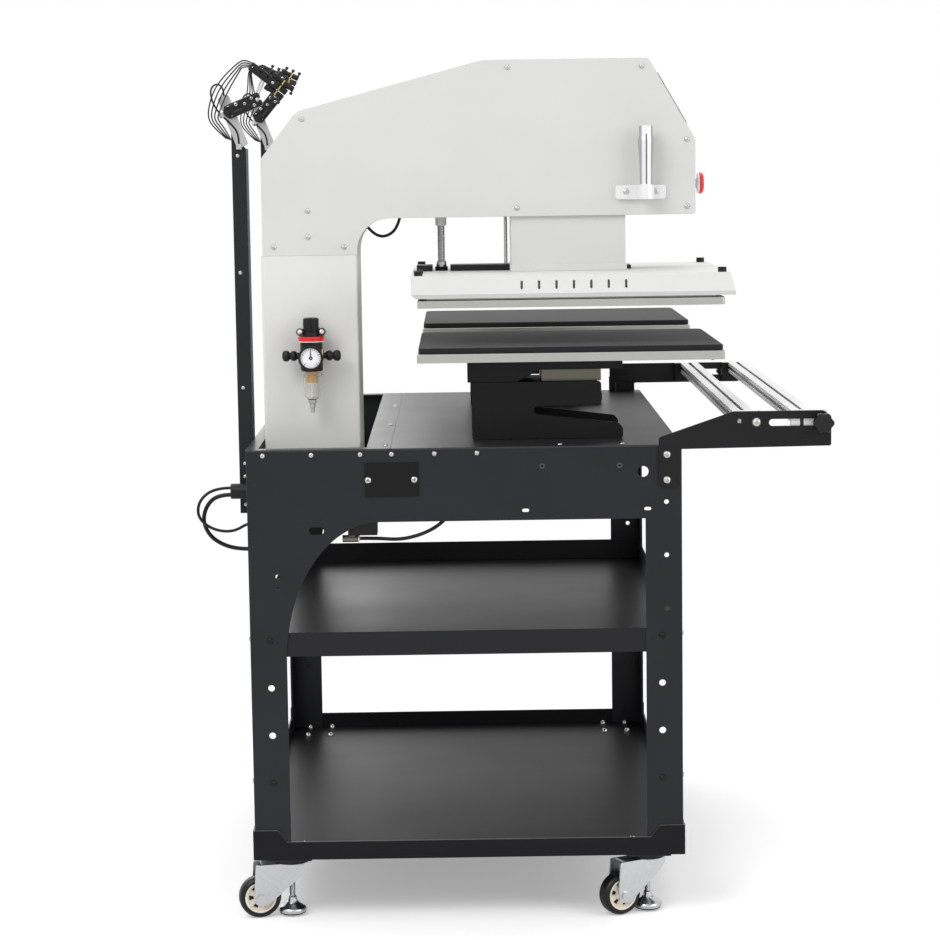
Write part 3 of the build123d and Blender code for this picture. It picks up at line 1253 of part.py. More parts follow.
conduit_foot_z, conduit_top_z = head_z + 7.0, arm_z + neck_engaged - 10.0
with BuildPart() as conduit:
    bar((conduit_x, -station_y, conduit_foot_z), (conduit_x, -station_y, conduit_top_z), conduit_diameter / 2)
    with BuildSketch(Plane.XY.offset(head_z)) as nut:
        with Locations((conduit_x, -station_y)):
            RegularPolygon(12.5, 6)
    extrude(nut.sketch, amount=7.0)
finish(conduit, "conduit")

# Fittings on the cover: a stiffener bar, corner caps, a dome nut and the sensor rod beside the neck
cap_x, cap_y = 246.0, 192.0
with BuildPart() as head_fittings:
    bar_y = (-station_y - 25.0, -station_y + 25.0)
    block((cover_rear + 7.0, conduit_x - 15.0), bar_y, (head_z, head_z + head_flange))
    block((conduit_x + 15.0, neck_span_x[0] - 2.5), bar_y, (head_z, head_z + head_flange))
    block((neck_span_x[1] + 2.5, neck_span_x[1] + 12.0), bar_y, (head_z, head_z + 6.0))
    for end, side in ((-1, -1), (1, -1), (1, 1), (-1, 1)):
        cap = (station_x + end * cap_x, -station_y + side * cap_y)
        bar((cap[0], cap[1], head_z), (cap[0], cap[1], head_z + 8.0), 7.0)
    nut_spot = (cover_rear + 14.0, -station_y - 120.0)
    bar((nut_spot[0], nut_spot[1], head_z), (nut_spot[0], nut_spot[1], head_z + 7.0), 5.0)
    bar((rod_x, -station_y, head_z + head_flange), (rod_x, -station_y, arm_z + neck_engaged - 5.0), rod_diameter / 2)
finish(head_fittings, "head_fittings")

# Screws of the stand
stand_screw, leg_screw, bracket_bolt, rail_bolt = 9.0, leg_hole + 2.5, 14.0, 16.0
small_head, low_head = screw_head(stand_screw), screw_head(stand_screw, 2.5)
leg_head, bolt_head = screw_head(leg_screw, 3.5), screw_head(bracket_bolt, 5.0)
rail_head, nut_head, web_head = screw_head(rail_bolt, 5.0), screw_head(12.0, 7.0), screw_head(7.5, 2.5)
small_seats, low_seats, leg_seats, bolt_seats, rail_seats, web_seats = [], [], [], [], [], []
web_heights = (479.0, 283.5, 89.5, -39.5, -61.5, -109.5)  # from the table top
for side in (NEAR, FAR):
    outward = (0, side, 0)
    face_y, bolt_y = side * side_y, side * bracket_out
    bolt = near_bolt if side == NEAR else far_bolt
    web_y = side * station_y - post_depth / 2
    small_seats += seats([(stand_rear + x, face_y, apron_screws_z) for x in apron_screws_x], outward)
    bolt_seats += seats([(stand_front - 25.0, bolt_y, z) for z in bracket_bolts_z], outward)
    rail_seats += seats([(stand_front + rail_inner + bolt, bolt_y, fixing_z + 1.0)], outward)
    low_seats += seats([(stand_x + x, side * (side_y - 26.0), table_z) for x in (158.0, 260.5)], (0, 0, 1))
    low_seats += seats([(station_x + 232.0, side * (station_y + 180.0), platen_z)], (0, 0, -1))
    web_seats += seats([(stand_rear - 14.0, web_y, table_z + z) for z in web_heights], (0, -1, 0))
    for end in (-1, 1):
        end_x = stand_x + end * stand_length / 2
        leg_x = end_x - end * leg_hole_inset
        leg_seats += seats([(leg_x, face_y, z) for z in leg_screws_z], outward)
        leg_seats += seats([(end_x, side * (side_y - 20.0), z) for z in leg_screws_z], (end, 0, 0))
plate_spots = [(cover_plate_centre[0] + x, -side_y - 2.0, cover_plate_centre[1]) for x in (-39.0, 36.8)]
small_seats += seats(plate_spots, (0, -1, 0))
seam_screws_y = (45.0 - side_y, -127.0, 220.0)
low_seats += seats([(seam_x - 9.0, y, table_z) for y in seam_screws_y], (0, 0, 1))
nut_spots = [
    (x + across * caster_bolt_x, y + along * caster_bolt_y, tray_floor_z)
    for end, side, x, y in caster_spots
    for across in (-0.5, 0.5)
    for along in (-0.5, 0.5)
]
with BuildPart() as stand_screws:
    for head, places in (
        (small_head, small_seats),
        (low_head, low_seats),
        (leg_head, leg_seats),
        (bolt_head, bolt_seats),
        (rail_head, rail_seats),
        (web_head, web_seats),
        (nut_head, seats(nut_spots, (0, 0, 1))),
    ):
        with Locations(places):
            add(head)
finish(stand_screws, "stand_screws")

print("press gap", heat_plate_z - press_z, "box x", stand_rear, stand_x + 601.0, "top", arm_top_z)
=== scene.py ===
import json
import logging
import math
from dataclasses import dataclass
from enum import Enum
from typing import Any, Callable, Sequence

import bpy
from mathutils import Matrix, Vector


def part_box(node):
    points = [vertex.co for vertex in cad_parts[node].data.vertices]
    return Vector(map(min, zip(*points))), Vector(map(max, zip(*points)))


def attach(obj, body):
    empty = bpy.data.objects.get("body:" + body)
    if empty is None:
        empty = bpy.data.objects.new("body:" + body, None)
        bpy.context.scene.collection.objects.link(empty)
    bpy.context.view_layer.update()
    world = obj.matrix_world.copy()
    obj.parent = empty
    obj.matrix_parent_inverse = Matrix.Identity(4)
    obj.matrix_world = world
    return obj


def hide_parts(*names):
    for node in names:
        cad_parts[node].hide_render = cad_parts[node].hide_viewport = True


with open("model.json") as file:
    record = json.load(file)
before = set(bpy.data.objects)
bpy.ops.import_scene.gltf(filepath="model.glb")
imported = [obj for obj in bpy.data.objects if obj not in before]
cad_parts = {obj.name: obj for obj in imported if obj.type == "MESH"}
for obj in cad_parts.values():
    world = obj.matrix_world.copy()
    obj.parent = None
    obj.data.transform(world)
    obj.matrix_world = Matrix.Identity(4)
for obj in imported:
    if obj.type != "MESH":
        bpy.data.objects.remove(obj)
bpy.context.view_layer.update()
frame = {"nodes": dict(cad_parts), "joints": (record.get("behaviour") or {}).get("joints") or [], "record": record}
log = logging.getLogger("heat_press")

MM = 0.001
BODY_OF = {node: body for body, nodes in frame["record"]["behaviour"]["bodies"].items() for node in nodes}
SLOT_OF = {part["node"]: part["material_slot"] for part in frame["record"]["subparts"]}
Triple = tuple[float, float, float]
Rgba = tuple[float, float, float, float]
WHITE = (1, 1, 1, 1)
WELD = 0.01 * MM
SPLIT = 0.2 * MM


class Way(Enum):
    """Direction that a turned or extruded piece faces."""

    UP = (0, 0, 1)
    OPERATOR = (1, 0, 0)
    REAR = (-1, 0, 0)
    NEAR = (0, -1, 0)
    FAR = (0, 1, 0)


# Shader maths


class Value:
    """Socket of a shader tree that takes part in Python arithmetic."""

    def __init__(self, graph: "Tree", socket: Any) -> None:
        """Keeps the socket and the tree it belongs to."""
        self.graph = graph
        self.socket = socket

    def maths(self, operation: str, first: Any, second: Any = None) -> "Value":
        """Adds one Math node.

        Args:
            operation: Name of the Math operation.
            first: Left operand.
            second: Right operand, where there is one.

        Returns:
            The node's result.
        """
        inputs = {0: first} if second is None else {0: first, 1: second}
        return self.graph.node("ShaderNodeMath", {"operation": operation}, inputs)

    def __add__(self, other: Any) -> "Value":
        """Sum."""
        return self.maths("ADD", self, other)

    def __radd__(self, other: Any) -> "Value":
        """Sum with a number on the left."""
        return self.maths("ADD", other, self)

    def __sub__(self, other: Any) -> "Value":
        """Difference."""
        return self.maths("SUBTRACT", self, other)

    def __rsub__(self, other: Any) -> "Value":
        """Difference with a number on the left."""
        return self.maths("SUBTRACT", other, self)

    def __mul__(self, other: Any) -> "Value":
        """Product."""
        return self.maths("MULTIPLY", self, other)

    def __rmul__(self, other: Any) -> "Value":
        """Product with a number on the left."""
        return self.maths("MULTIPLY", other, self)

    def __abs__(self) -> "Value":
        """Absolute value."""
        return self.maths("ABSOLUTE", self)


def linear(colour: Triple) -> Rgba:
    """Turns a colour of 0 to 255 display steps into linear light.

    Args:
        colour: Red, green and blue in display steps.

    Returns:
        The colour in linear light, with full alpha.
    """
    steps = [value / 255 for value in colour]
    light = [value / 12.92 if value <= 0.04045 else ((value + 0.055) / 1.055) ** 2.4 for value in steps]
    return (light[0], light[1], light[2], 1)


def scaled(colour: Triple, share: float, lift: float = 0.0) -> Rgba:
    """Linear light of a colour, made brighter or darker by a share."""
    red, green, blue = (min(1, value * share + lift) for value in linear(colour)[:3])
    return (red, green, blue, 1)


class Tree:
    """Node tree, with helpers that add and link nodes."""

    def __init__(self, tree: Any) -> None:
        """Keeps the tree."""
        self.tree = tree

    def node(self, kind: str, settings: dict | None = None, inputs: dict | None = None, output: Any = 0) -> Value:
        """Adds a node.

        Args:
            kind: Blender's type name of the node.
            settings: Properties set first; "stops" fills a ramp.
            inputs: Values or links by socket name or number.
            output: Number or name of the output to return.

        Returns:
            The chosen output.
        """
        made = self.tree.nodes.new(kind)
        for key, value in (settings or {}).items():
            if key == "stops":
                ramp = made.color_ramp.elements
                while len(ramp) < len(value):
                    ramp.new(0.5)
                for element, (place, colour) in zip(ramp, value):
                    element.position, element.color = place, colour
            else:
                setattr(made, key, value)
        for key, value in (inputs or {}).items():
            if isinstance(value, Value):
                self.tree.links.new(value.socket, made.inputs[key])
            else:
                made.inputs[key].default_value = value
        return Value(self, made.outputs[output])

    def ray(self, kind: str) -> Value:
        """Tells whether a ray is of a kind, such as Camera."""
        return self.node("ShaderNodeLightPath", output=f"Is {kind} Ray")

    def blend(self, share: Value, first: Value, second: Value) -> Value:
        """Mixes two shaders."""
        return self.node("ShaderNodeMixShader", inputs={0: share, 1: first, 2: second})


class Graph(Tree):
    """Shader tree of one material, with a Principled surface."""

    def __init__(self, name: str) -> None:
        """Makes the material and finds its surface node.

        Args:
            name: Name of the material.
        """
        self.material = bpy.data.materials.new(name)
        self.material.use_nodes = True
        super().__init__(self.material.node_tree)
        self.surface = self.tree.nodes["Principled BSDF"]
        self.position = self.node("ShaderNodeTexCoord", output="Object")

    def axis(self, index: int) -> Value:
        """One coordinate of the place on the object, in metres."""
        return self.node("ShaderNodeSeparateXYZ", inputs={0: self.position}, output=index)

    def noise(self, scale: float, detail: float = 2.0, stretch: Triple = (1.0, 1.0, 1.0)) -> Value:
        """Noise of 0 to 1 over the surface."""
        where = self.node("ShaderNodeVectorMath", {"operation": "MULTIPLY"}, {0: self.position, 1: stretch})
        return self.node("ShaderNodeTexNoise", inputs={"Vector": where, "Scale": scale, "Detail": detail})

    def edge(self, value: Value, low: float, high: float) -> Value:
        """Smooth step from 0 at low to 1 at high."""
        inputs = {"Value": value, "From Min": low, "From Max": high}
        return self.node("ShaderNodeMapRange", {"interpolation_type": "SMOOTHSTEP"}, inputs)

    def mix(self, share: Any, first: Any, second: Any) -> Value:
        """Colour between two colours."""
        inputs = {0: share, 6: first, 7: second}
        return self.node("ShaderNodeMix", {"data_type": "RGBA"}, inputs, output=2)

    def relief(self, height: Value, distance: float, strength: float = 1.0) -> None:
        """Feeds the surface's normal from a height."""
        made = self.node("ShaderNodeBump", inputs={"Strength": strength, "Distance": distance, "Height": height})
        self.tree.links.new(made.socket, self.surface.inputs["Normal"])

    def feed(self, **sockets: Any) -> None:
        """Sets or links inputs of the surface; underscores stand for spaces.

        Args:
            sockets: Values or links by socket name.
        """
        for key, value in sockets.items():
            socket = self.surface.inputs[key.replace("_", " ")]
            if isinstance(value, Value):
                self.tree.links.new(value.socket, socket)
            else:
                socket.default_value = value


# Finishes

MADE: dict[str, Any] = {}


@dataclass(frozen=True)
class Finish:
    """Base of every finish: a name, a colour in display steps and a roughness."""

    name: str
    colour: Triple
    roughness: float = 0.5

    def dress(self, graph: Graph) -> None:
        """Fills the shader tree."""

    def material(self) -> Any:
        """Returns the material, made on first use.

        Returns:
            The material.
        """
        if self.name not in MADE:
            graph = Graph(self.name)
            self.dress(graph)
            MADE[self.name] = graph.material
        return MADE[self.name]


@dataclass(frozen=True)
class PowderCoat(Finish):
    """Baked paint with fine orange peel and slight mottling."""

    mottle: float = 0.06
    peel: float = 900.0
    depth: float = 0.00003
    specular: float = 0.5

    def dress(self, graph: Graph) -> None:
        """Paint colour with soft clouds, and a roughness that follows them.

        Args:
            graph: Shader tree to fill.
        """
        clouds = graph.noise(7, 4)
        fine = graph.noise(self.peel, 2)
        dark, light = scaled(self.colour, 1 - self.mottle), scaled(self.colour, 1 + self.mottle)
        colour = self.tint(graph, graph.mix(graph.edge(clouds, 0.3, 0.7), dark, light))
        graph.feed(Base_Color=colour, Roughness=self.roughness - 0.04 + clouds * 0.08 + fine * 0.02)
        graph.feed(Specular_IOR_Level=self.specular)
        graph.relief(fine, self.depth, 0.6)

    def tint(self, graph: Graph, colour: Value) -> Value:
        """Colour after marks that depend on the place; none here."""
        return colour


@dataclass(frozen=True)
class TablePaint(PowderCoat):
    """Table paint with a dark joint line between the two table sheets."""

    seam_x: float = -220.0 * MM
    line: float = 1.2 * MM

    def tint(self, graph: Graph, colour: Value) -> Value:
        """Darkens the joint between the sheets."""
        off = graph.edge(abs(graph.axis(0) - self.seam_x), self.line, self.line * 1.3)
        return graph.mix(off, linear((10, 10, 11)), colour)


@dataclass(frozen=True)
class BrushedMetal(Finish):
    """Metal with fine lines along one axis."""

    along: Triple = (1, 0.02, 1)
    lines: float = 1400.0
    metallic: float = 1.0
    depth: float = 0.00002

    def dress(self, graph: Graph) -> None:
        """Lines that vary colour, roughness and relief.

        Args:
            graph: Shader tree to fill.
        """
        streaks = graph.noise(self.lines, 3, self.along)
        clouds = graph.noise(11, 3)
        base, dark = linear(self.colour), scaled(self.colour, 0.82)
        graph.feed(Base_Color=graph.mix(streaks * 0.6 + clouds * 0.3, dark, base), Metallic=self.metallic)
        graph.feed(Roughness=self.roughness - 0.06 + streaks * 0.12)
        graph.relief(streaks, self.depth, 0.4)


@dataclass(frozen=True)
class RailMetal(BrushedMetal):
    """White anodised extrusion, with painted shade inside the slots of its top and sides."""

    centre_x: float = 0.0
    half_slot: float = 3.0 * MM
    top_z: float = 0.848
    side_z: float = 0.838
    half_side: float = 16.5 * MM

    def dress(self, graph: Graph) -> None:
        """Brushed metal with painted shade on the slots' floors.

        Args:
            graph: Shader tree to fill.
        """
        streaks = graph.noise(self.lines, 3, self.along)
        across, height = abs(graph.axis(0) - self.centre_x), graph.axis(2)
        off_top = graph.edge(across, self.half_slot - SPLIT, self.half_slot + SPLIT)
        low = 1 - graph.edge(height, self.top_z - 0.0012, self.top_z - 0.0006)
        off_side = graph.edge(abs(height - self.side_z), self.half_slot - SPLIT, self.half_slot + SPLIT)
        inner = 1 - graph.edge(across, self.half_side - SPLIT, self.half_side + SPLIT)
        # Painted shade: inside the top and side slots the colour turns near black and stops being metal.
        slot_shade = self.covered((1 - off_top) * low, (1 - off_side) * inner)
        base, soft = linear(self.colour), scaled(self.colour, 0.93)
        colour = graph.mix(streaks, soft, base)
        graph.feed(Base_Color=graph.mix(slot_shade, colour, linear((22, 22, 24))))
        graph.feed(Roughness=self.roughness + streaks * 0.08, Metallic=self.metallic * (1 - slot_shade))
        graph.relief(streaks, self.depth, 0.3)

    def covered(self, first: Value, second: Value) -> Value:
        """Share of two masks together."""
        return first + second * (1 - first)


@dataclass(frozen=True)
class TubeMetal(BrushedMetal):
    """Bright tube with painted shade in a slit down its middle and on its flanks."""

    centre_x: float = 0.2065
    half_slit: float = 1.2 * MM
    flank: float = 7.0 * MM
    low_z: float = 1.217
    high_z: float = 1.3

    def dress(self, graph: Graph) -> None:
        """Brushed metal with painted shade set by the distance from the tube's middle.

        Args:
            graph: Shader tree to fill.
        """
        streaks = graph.noise(self.lines, 3, self.along)
        across = abs(graph.axis(0) - self.centre_x)
        height = graph.axis(2)
        above = graph.edge(height, self.low_z, self.low_z + 0.001)
        below = 1 - graph.edge(height, self.high_z - 0.001, self.high_z)
        # Painted shade: a dark grey slit down the middle, and flanks turned darker grey.
        slit = (1 - graph.edge(across, self.half_slit - SPLIT, self.half_slit + SPLIT)) * above * below
        flank = graph.edge(across, self.flank, self.flank + 0.001) * above
        base, soft = linear(self.colour), scaled(self.colour, 0.93)
        shaded = graph.mix(flank * 0.7, graph.mix(streaks, soft, base), linear((120, 122, 124)))
        graph.feed(Base_Color=graph.mix(slit, shaded, linear((96, 100, 102))))
        graph.feed(Roughness=self.roughness + streaks * 0.08, Metallic=self.metallic * (1 - slit))
        graph.relief(streaks, self.depth, 0.3)


@dataclass(frozen=True)
class Zinc(Finish):
    """Bright plated steel with faint spangle and handling marks."""

    def dress(self, graph: Graph) -> None:
        """Plating that mottles colour and roughness.

        Args:
            graph: Shader tree to fill.
        """
        spangle = graph.noise(160, 3)
        clouds = graph.noise(30, 4)
        base, dark = linear(self.colour), scaled(self.colour, 0.8)
        graph.feed(Base_Color=graph.mix(spangle, dark, base), Metallic=1)
        graph.feed(Roughness=self.roughness - 0.08 + clouds * 0.2)
        graph.relief(spangle, 0.00002, 0.4)


@dataclass(frozen=True)
class Rubber(Finish):
    """Black rubber or soft plastic with a fine grain."""

    grain: float = 1500.0
    depth: float = 0.00004
    specular: float = 0.35

    def dress(self, graph: Graph) -> None:
        """Grain in the relief, and scuffs in the colour.

        Args:
            graph: Shader tree to fill.
        """
        grain = graph.noise(self.grain, 3)
        scuffs = graph.noise(60, 5)
        base, pale = linear(self.colour), scaled(self.colour, 1.5, 0.004)
        graph.feed(Base_Color=graph.mix(graph.edge(scuffs, 0.45, 0.8), base, pale))
        graph.feed(Roughness=self.roughness - 0.05 + grain * 0.1, Specular_IOR_Level=self.specular)
        graph.relief(grain, self.depth, 0.5)


@dataclass(frozen=True)
class SpongeRubber(Finish):
    """Silicone sponge pad: fine open pores and a dull sheen."""

    def dress(self, graph: Graph) -> None:
        """Pores from a fine cell pattern over slow clouds.

        Args:
            graph: Shader tree to fill.
        """
        pores = graph.node("ShaderNodeTexVoronoi", inputs={"Vector": graph.position, "Scale": 900})
        clouds = graph.noise(9, 4)
        base, dark = linear(self.colour), scaled(self.colour, 0.72)
        graph.feed(Base_Color=graph.mix(graph.edge(pores, 0.1, 0.5) * 0.7 + clouds * 0.3, dark, base))
        graph.feed(Roughness=self.roughness + clouds * 0.08, Sheen_Weight=0.15, Specular_IOR_Level=0.25)
        graph.relief(pores, 0.00012, 0.6)


@dataclass(frozen=True)
class ClearPlastic(Finish):
    """Clear bowl with a few moulding waves."""

    def dress(self, graph: Graph) -> None:
        """Light passes through, with soft waves in the relief.

        Args:
            graph: Shader tree to fill.
        """
        waves = graph.noise(120, 1)
        graph.feed(Base_Color=graph.mix(waves, linear(self.colour), WHITE))
        graph.feed(Roughness=self.roughness + waves * 0.03, Transmission_Weight=0.95, IOR=1.35)
        graph.relief(waves, 0.0002, 0.3)


@dataclass(frozen=True)
class FootMetal(Zinc):
    """Chromed foot: black rubber below the rim, metal above."""

    rubber_z: float = 5.4 * MM

    def dress(self, graph: Graph) -> None:
        """Position decides between rubber and chrome.

        Args:
            graph: Shader tree to fill.
        """
        spangle = graph.noise(140, 3)
        metal = graph.edge(graph.axis(2), self.rubber_z - SPLIT, self.rubber_z + SPLIT)
        base, dark = linear(self.colour), scaled(self.colour, 0.75)
        shine = graph.mix(spangle, dark, base)
        graph.feed(Base_Color=graph.mix(metal, linear((18, 18, 20)), shine), Metallic=metal)
        graph.feed(Roughness=0.75 - metal * 0.55 + spangle * 0.08)
        graph.relief(spangle, 0.00002, 0.3)


ARM_PAINT = PowderCoat("arm paint", (211, 211, 209), 0.45, 0.015, 1300, 0.000012, 0.35)
COVER_PAINT = PowderCoat("cover paint", (222, 223, 221), 0.4, 0.012, 1300, 0.000012, 0.4)
STAND_PAINT = PowderCoat("stand paint", (27, 29, 33), 0.42, 0.1, 1100, 0.00003, 0.3)
# Painted shade: the stand's black paint made darker for the low tray, which lies in shade under the shelf.
SHADED_TRAY_PAINT = PowderCoat("tray paint", (15, 16, 18), 0.44, 0.05, 1100, 0.00002, 0.2)
PLATE_PAINT = PowderCoat("cover plate paint", (15, 15, 17), 0.5, 0.05, 1100, 0.00004, 0.2)
SHELF_PAINT = PowderCoat("shelf paint", (20, 21, 23), 0.36, 0.05, 1100, 0.00002, 0.3)
# Painted highlight: pale grey for the top edges of the tray's lip, where light catches the sheet's cut edge.
LIP_HIGHLIGHT_PAINT = PowderCoat("lip highlight", (92, 93, 95), 0.4, 0.1, 1100, 0.00002, 0.5)
# Colour of the rivet nuts' steel; on the cover plate screws it is painted shade for the cross recesses.
DARK_STEEL_AND_RECESS_SHADE = Zinc("dark steel and recess shade", (96, 97, 98), 0.3)
ELBOW_METAL = Zinc("elbow metal", (128, 122, 112), 0.36)
# Painted light: a lighter copy of the arm's paint, so that the column, which gets less lamp light, matches the arm.
LIT_COLUMN_PAINT = PowderCoat("column paint", (219, 219, 217), 0.45, 0.015, 1300, 0.000012, 0.35)
TABLE_PAINT = TablePaint("table paint", (44, 45, 47), 0.34, 0.05, 1000, 0.00002, 0.5)
SURROUND_PAINT = TablePaint("surround paint", (50, 51, 53), 0.34, 0.05, 1000, 0.00002, 0.5)
FIXTURE_PAINT = PowderCoat("fixture paint", (20, 20, 22), 0.46, 0.1, 1100, 0.00003, 0.25)
LOAD_PAINT = BrushedMetal("load block", (130, 128, 116), 0.5, (0.03, 1, 1), metallic=0.6)
MACHINED = BrushedMetal("machined aluminium", (205, 205, 200), 0.38, (0.03, 1, 1))
SATIN_METAL = BrushedMetal("satin aluminium", (214, 215, 214), 0.34, (1, 1, 0.03))
TUBE_METAL = TubeMetal("tube aluminium", (246, 246, 246), 0.28, (1, 1, 0.03), metallic=0.35)
INNER_RAIL = RailMetal("inner rail", (247, 247, 247), 0.22, (1, 0.03, 1), metallic=0.15, centre_x=0.3575)
OUTER_RAIL = RailMetal("outer rail", (247, 247, 247), 0.22, (1, 0.03, 1), metallic=0.15, centre_x=0.4535)
PLATING = Zinc("bright plating", (222, 225, 226), 0.32)
SCREW_METAL = Zinc("screw steel", (214, 214, 212), 0.26)
HOSE_METAL = Zinc("hose steel", (196, 197, 198), 0.24)
BRASS = Zinc("brass", (208, 184, 128), 0.26)
FOOT_METAL = FootMetal("foot chrome", (226, 228, 229), 0.2)
TYRE = Rubber("tyre", (15, 15, 16), 0.36, 900, 0.00002, 0.35)
RIM_PLASTIC = Rubber("rim", (236, 226, 210), 0.34, 700, 0.00002, 0.5)
# Painted shade: dark brown on the floors of the rim's slots, for the shade inside them.
RIM_SLOT_SHADE = Rubber("rim slots", (30, 24, 20), 0.7, 700, 0.00002, 0.2)
BLACK_PLASTIC = Rubber("black plastic", (14, 14, 15), 0.42, 800, 0.00003, 0.35)
KNOB_PLASTIC = Rubber("knob plastic", (12, 12, 13), 0.38, 800, 0.00003, 0.4)
CABLE_SKIN = Rubber("cable skin", (13, 13, 14), 0.45, 1200, 0.00003, 0.35)
RED_PLASTIC = Rubber("red plastic", (214, 32, 36), 0.3, 700, 0.00001, 0.5)
WHITE_PLASTIC = Rubber("white plastic", (232, 232, 228), 0.4, 700, 0.00001, 0.4)
DIAL_WHITE = Rubber("dial face", (238, 240, 242), 0.5, 700, 0.000005, 0.3)
SCREEN = Rubber("screen", (12, 16, 22), 0.12, 500, 0.000005, 0.6)
AMBER = Rubber("amber element", (224, 168, 88), 0.5, 500, 0.00006, 0.4)
PAD_SPONGE = SpongeRubber("pad sponge", (32, 32, 34), 0.9)
BOWL = ClearPlastic("bowl plastic", (238, 238, 232), 0.06)


# Modelling helpers: pieces are shaped in millimetres and placed in metres


def select_only(*objects: Any) -> None:
    """Deselects everything, then selects the given objects, the first one active.

    Args:
        objects: Objects to select.
    """
    if bpy.context.mode != "OBJECT":
        bpy.ops.object.mode_set(mode="OBJECT")
    bpy.ops.object.select_all(action="DESELECT")
    for piece in objects:
        piece.select_set(True)
    bpy.context.view_layer.objects.active = objects[0]


def pick_faces(piece: Any, test: Callable[[Any], bool]) -> None:
    """Opens a piece in edit mode with only the faces that pass a test selected.

    Args:
        piece: Piece to open.
        test: Tells whether a face is to be selected.
    """
    select_only(piece)
    bpy.ops.object.mode_set(mode="EDIT")
    bpy.ops.mesh.select_mode(type="FACE")
    bpy.ops.mesh.select_all(action="DESELECT")
    bpy.ops.object.mode_set(mode="OBJECT")
    for face in piece.data.polygons:
        face.select = bool(test(face))
    bpy.ops.object.mode_set(mode="EDIT")


def close_edit() -> None:
    """Goes back to object mode."""
    bpy.ops.object.mode_set(mode="OBJECT")


def outward(piece: Any) -> None:
    """Merges doubles and turns all faces outwards.

    Args:
        piece: Piece to clean.
    """
    select_only(piece)
    bpy.ops.object.mode_set(mode="EDIT")
    bpy.ops.mesh.select_all(action="SELECT")
    bpy.ops.mesh.remove_doubles(threshold=0.0005)
    bpy.ops.mesh.normals_make_consistent(inside=False)
    close_edit()


def turned(name: str, profile: Sequence[tuple[float, float]], segments: int = 40, ring: bool = False) -> Any:
    """Makes a turned solid about Z by extruding a circle from step to step.

    Args:
        name: Name of the piece.
        profile: Radius and height of each step, in millimetres.
        segments: Sides of the circle.
        ring: True where the last step joins the first.

    Returns:
        The piece.
    """
    steps = [(max(radius, 0.02), height) for radius, height in profile]
    bpy.ops.object.select_all(action="DESELECT")
    bpy.ops.mesh.primitive_circle_add(vertices=segments, radius=steps[0][0], fill_type="NOTHING")
    piece = bpy.context.object
    piece.name = name
    bpy.ops.object.mode_set(mode="EDIT")
    bpy.ops.mesh.select_mode(type="EDGE")
    bpy.ops.mesh.select_all(action="SELECT")
    bpy.ops.transform.translate(value=(0, 0, steps[0][1]))
    for (radius, height), (wider, higher) in zip(steps, steps[1:]):
        bpy.ops.mesh.extrude_edges_move(TRANSFORM_OT_translate={"value": (0, 0, higher - height)})
        share = wider / radius
        bpy.ops.transform.resize(value=(share, share, 1), center_override=(0, 0, higher))
    if ring:
        bpy.ops.mesh.select_all(action="DESELECT")
        bpy.ops.mesh.select_non_manifold()
        bpy.ops.mesh.bridge_edge_loops()
    else:
        bpy.ops.mesh.select_all(action="SELECT")
        bpy.ops.mesh.fill_holes(sides=0)
    close_edit()
    outward(piece)
    return piece


def block(name: str, low: Triple, high: Triple, edge: float = 0.0, rounds: int = 2) -> Any:
    """Makes a box between two corners, with its edges bevelled.

    Args:
        name: Name of the piece.
        low: Lowest corner, in millimetres.
        high: Highest corner, in millimetres.
        edge: Width of the bevel.
        rounds: Steps of the bevel.

    Returns:
        The piece.
    """
    bpy.ops.object.select_all(action="DESELECT")
    bpy.ops.mesh.primitive_cube_add(size=1)
    piece = bpy.context.object
    piece.name = name
    bpy.ops.object.mode_set(mode="EDIT")
    bpy.ops.mesh.select_all(action="SELECT")
    bpy.ops.transform.resize(value=tuple(abs(b - a) for a, b in zip(low, high)))
    bpy.ops.transform.translate(value=tuple((a + b) / 2 for a, b in zip(low, high)))
    if edge:
        bpy.ops.mesh.bevel(offset=edge, segments=rounds, affect="EDGES")
    close_edit()
    return piece


def star(name: str, outline: Sequence[tuple[float, float]], height: float, edge: float = 0.0) -> Any:
    """Makes a prism about Z: a filled circle whose points are moved to an outline, then extruded.

    Args:
        name: Name of the piece.
        outline: Points about the axis, in millimetres.
        height: Height of the prism.
        edge: Width of the rounding.

    Returns:
        The piece.
    """
    bpy.ops.object.select_all(action="DESELECT")
    bpy.ops.mesh.primitive_circle_add(vertices=len(outline), radius=1, fill_type="NGON")
    piece = bpy.context.object
    piece.name = name
    for vertex, (x, y) in zip(piece.data.vertices, outline):
        vertex.co = (x, y, 0)
    bpy.ops.object.mode_set(mode="EDIT")
    bpy.ops.mesh.select_all(action="SELECT")
    bpy.ops.mesh.extrude_region_move(TRANSFORM_OT_translate={"value": (0, 0, height)})
    close_edit()
    outward(piece)
    if edge:
        rounded(piece, edge)
    return piece


def rounded(piece: Any, width: float, segments: int = 2, angle: float = 40.0) -> None:
    """Bevels a piece's sharp edges with a modifier and applies it.

    Args:
        piece: Piece to bevel.
        width: Width of the bevel.
        segments: Steps of the bevel.
        angle: Edges sharper than this are bevelled, in degrees.
    """
    select_only(piece)
    bevel = piece.modifiers.new("edges", "BEVEL")
    bevel.width, bevel.segments, bevel.limit_method = width, segments, "ANGLE"
    bevel.angle_limit = math.radians(angle)
    bpy.ops.object.modifier_apply(modifier=bevel.name)


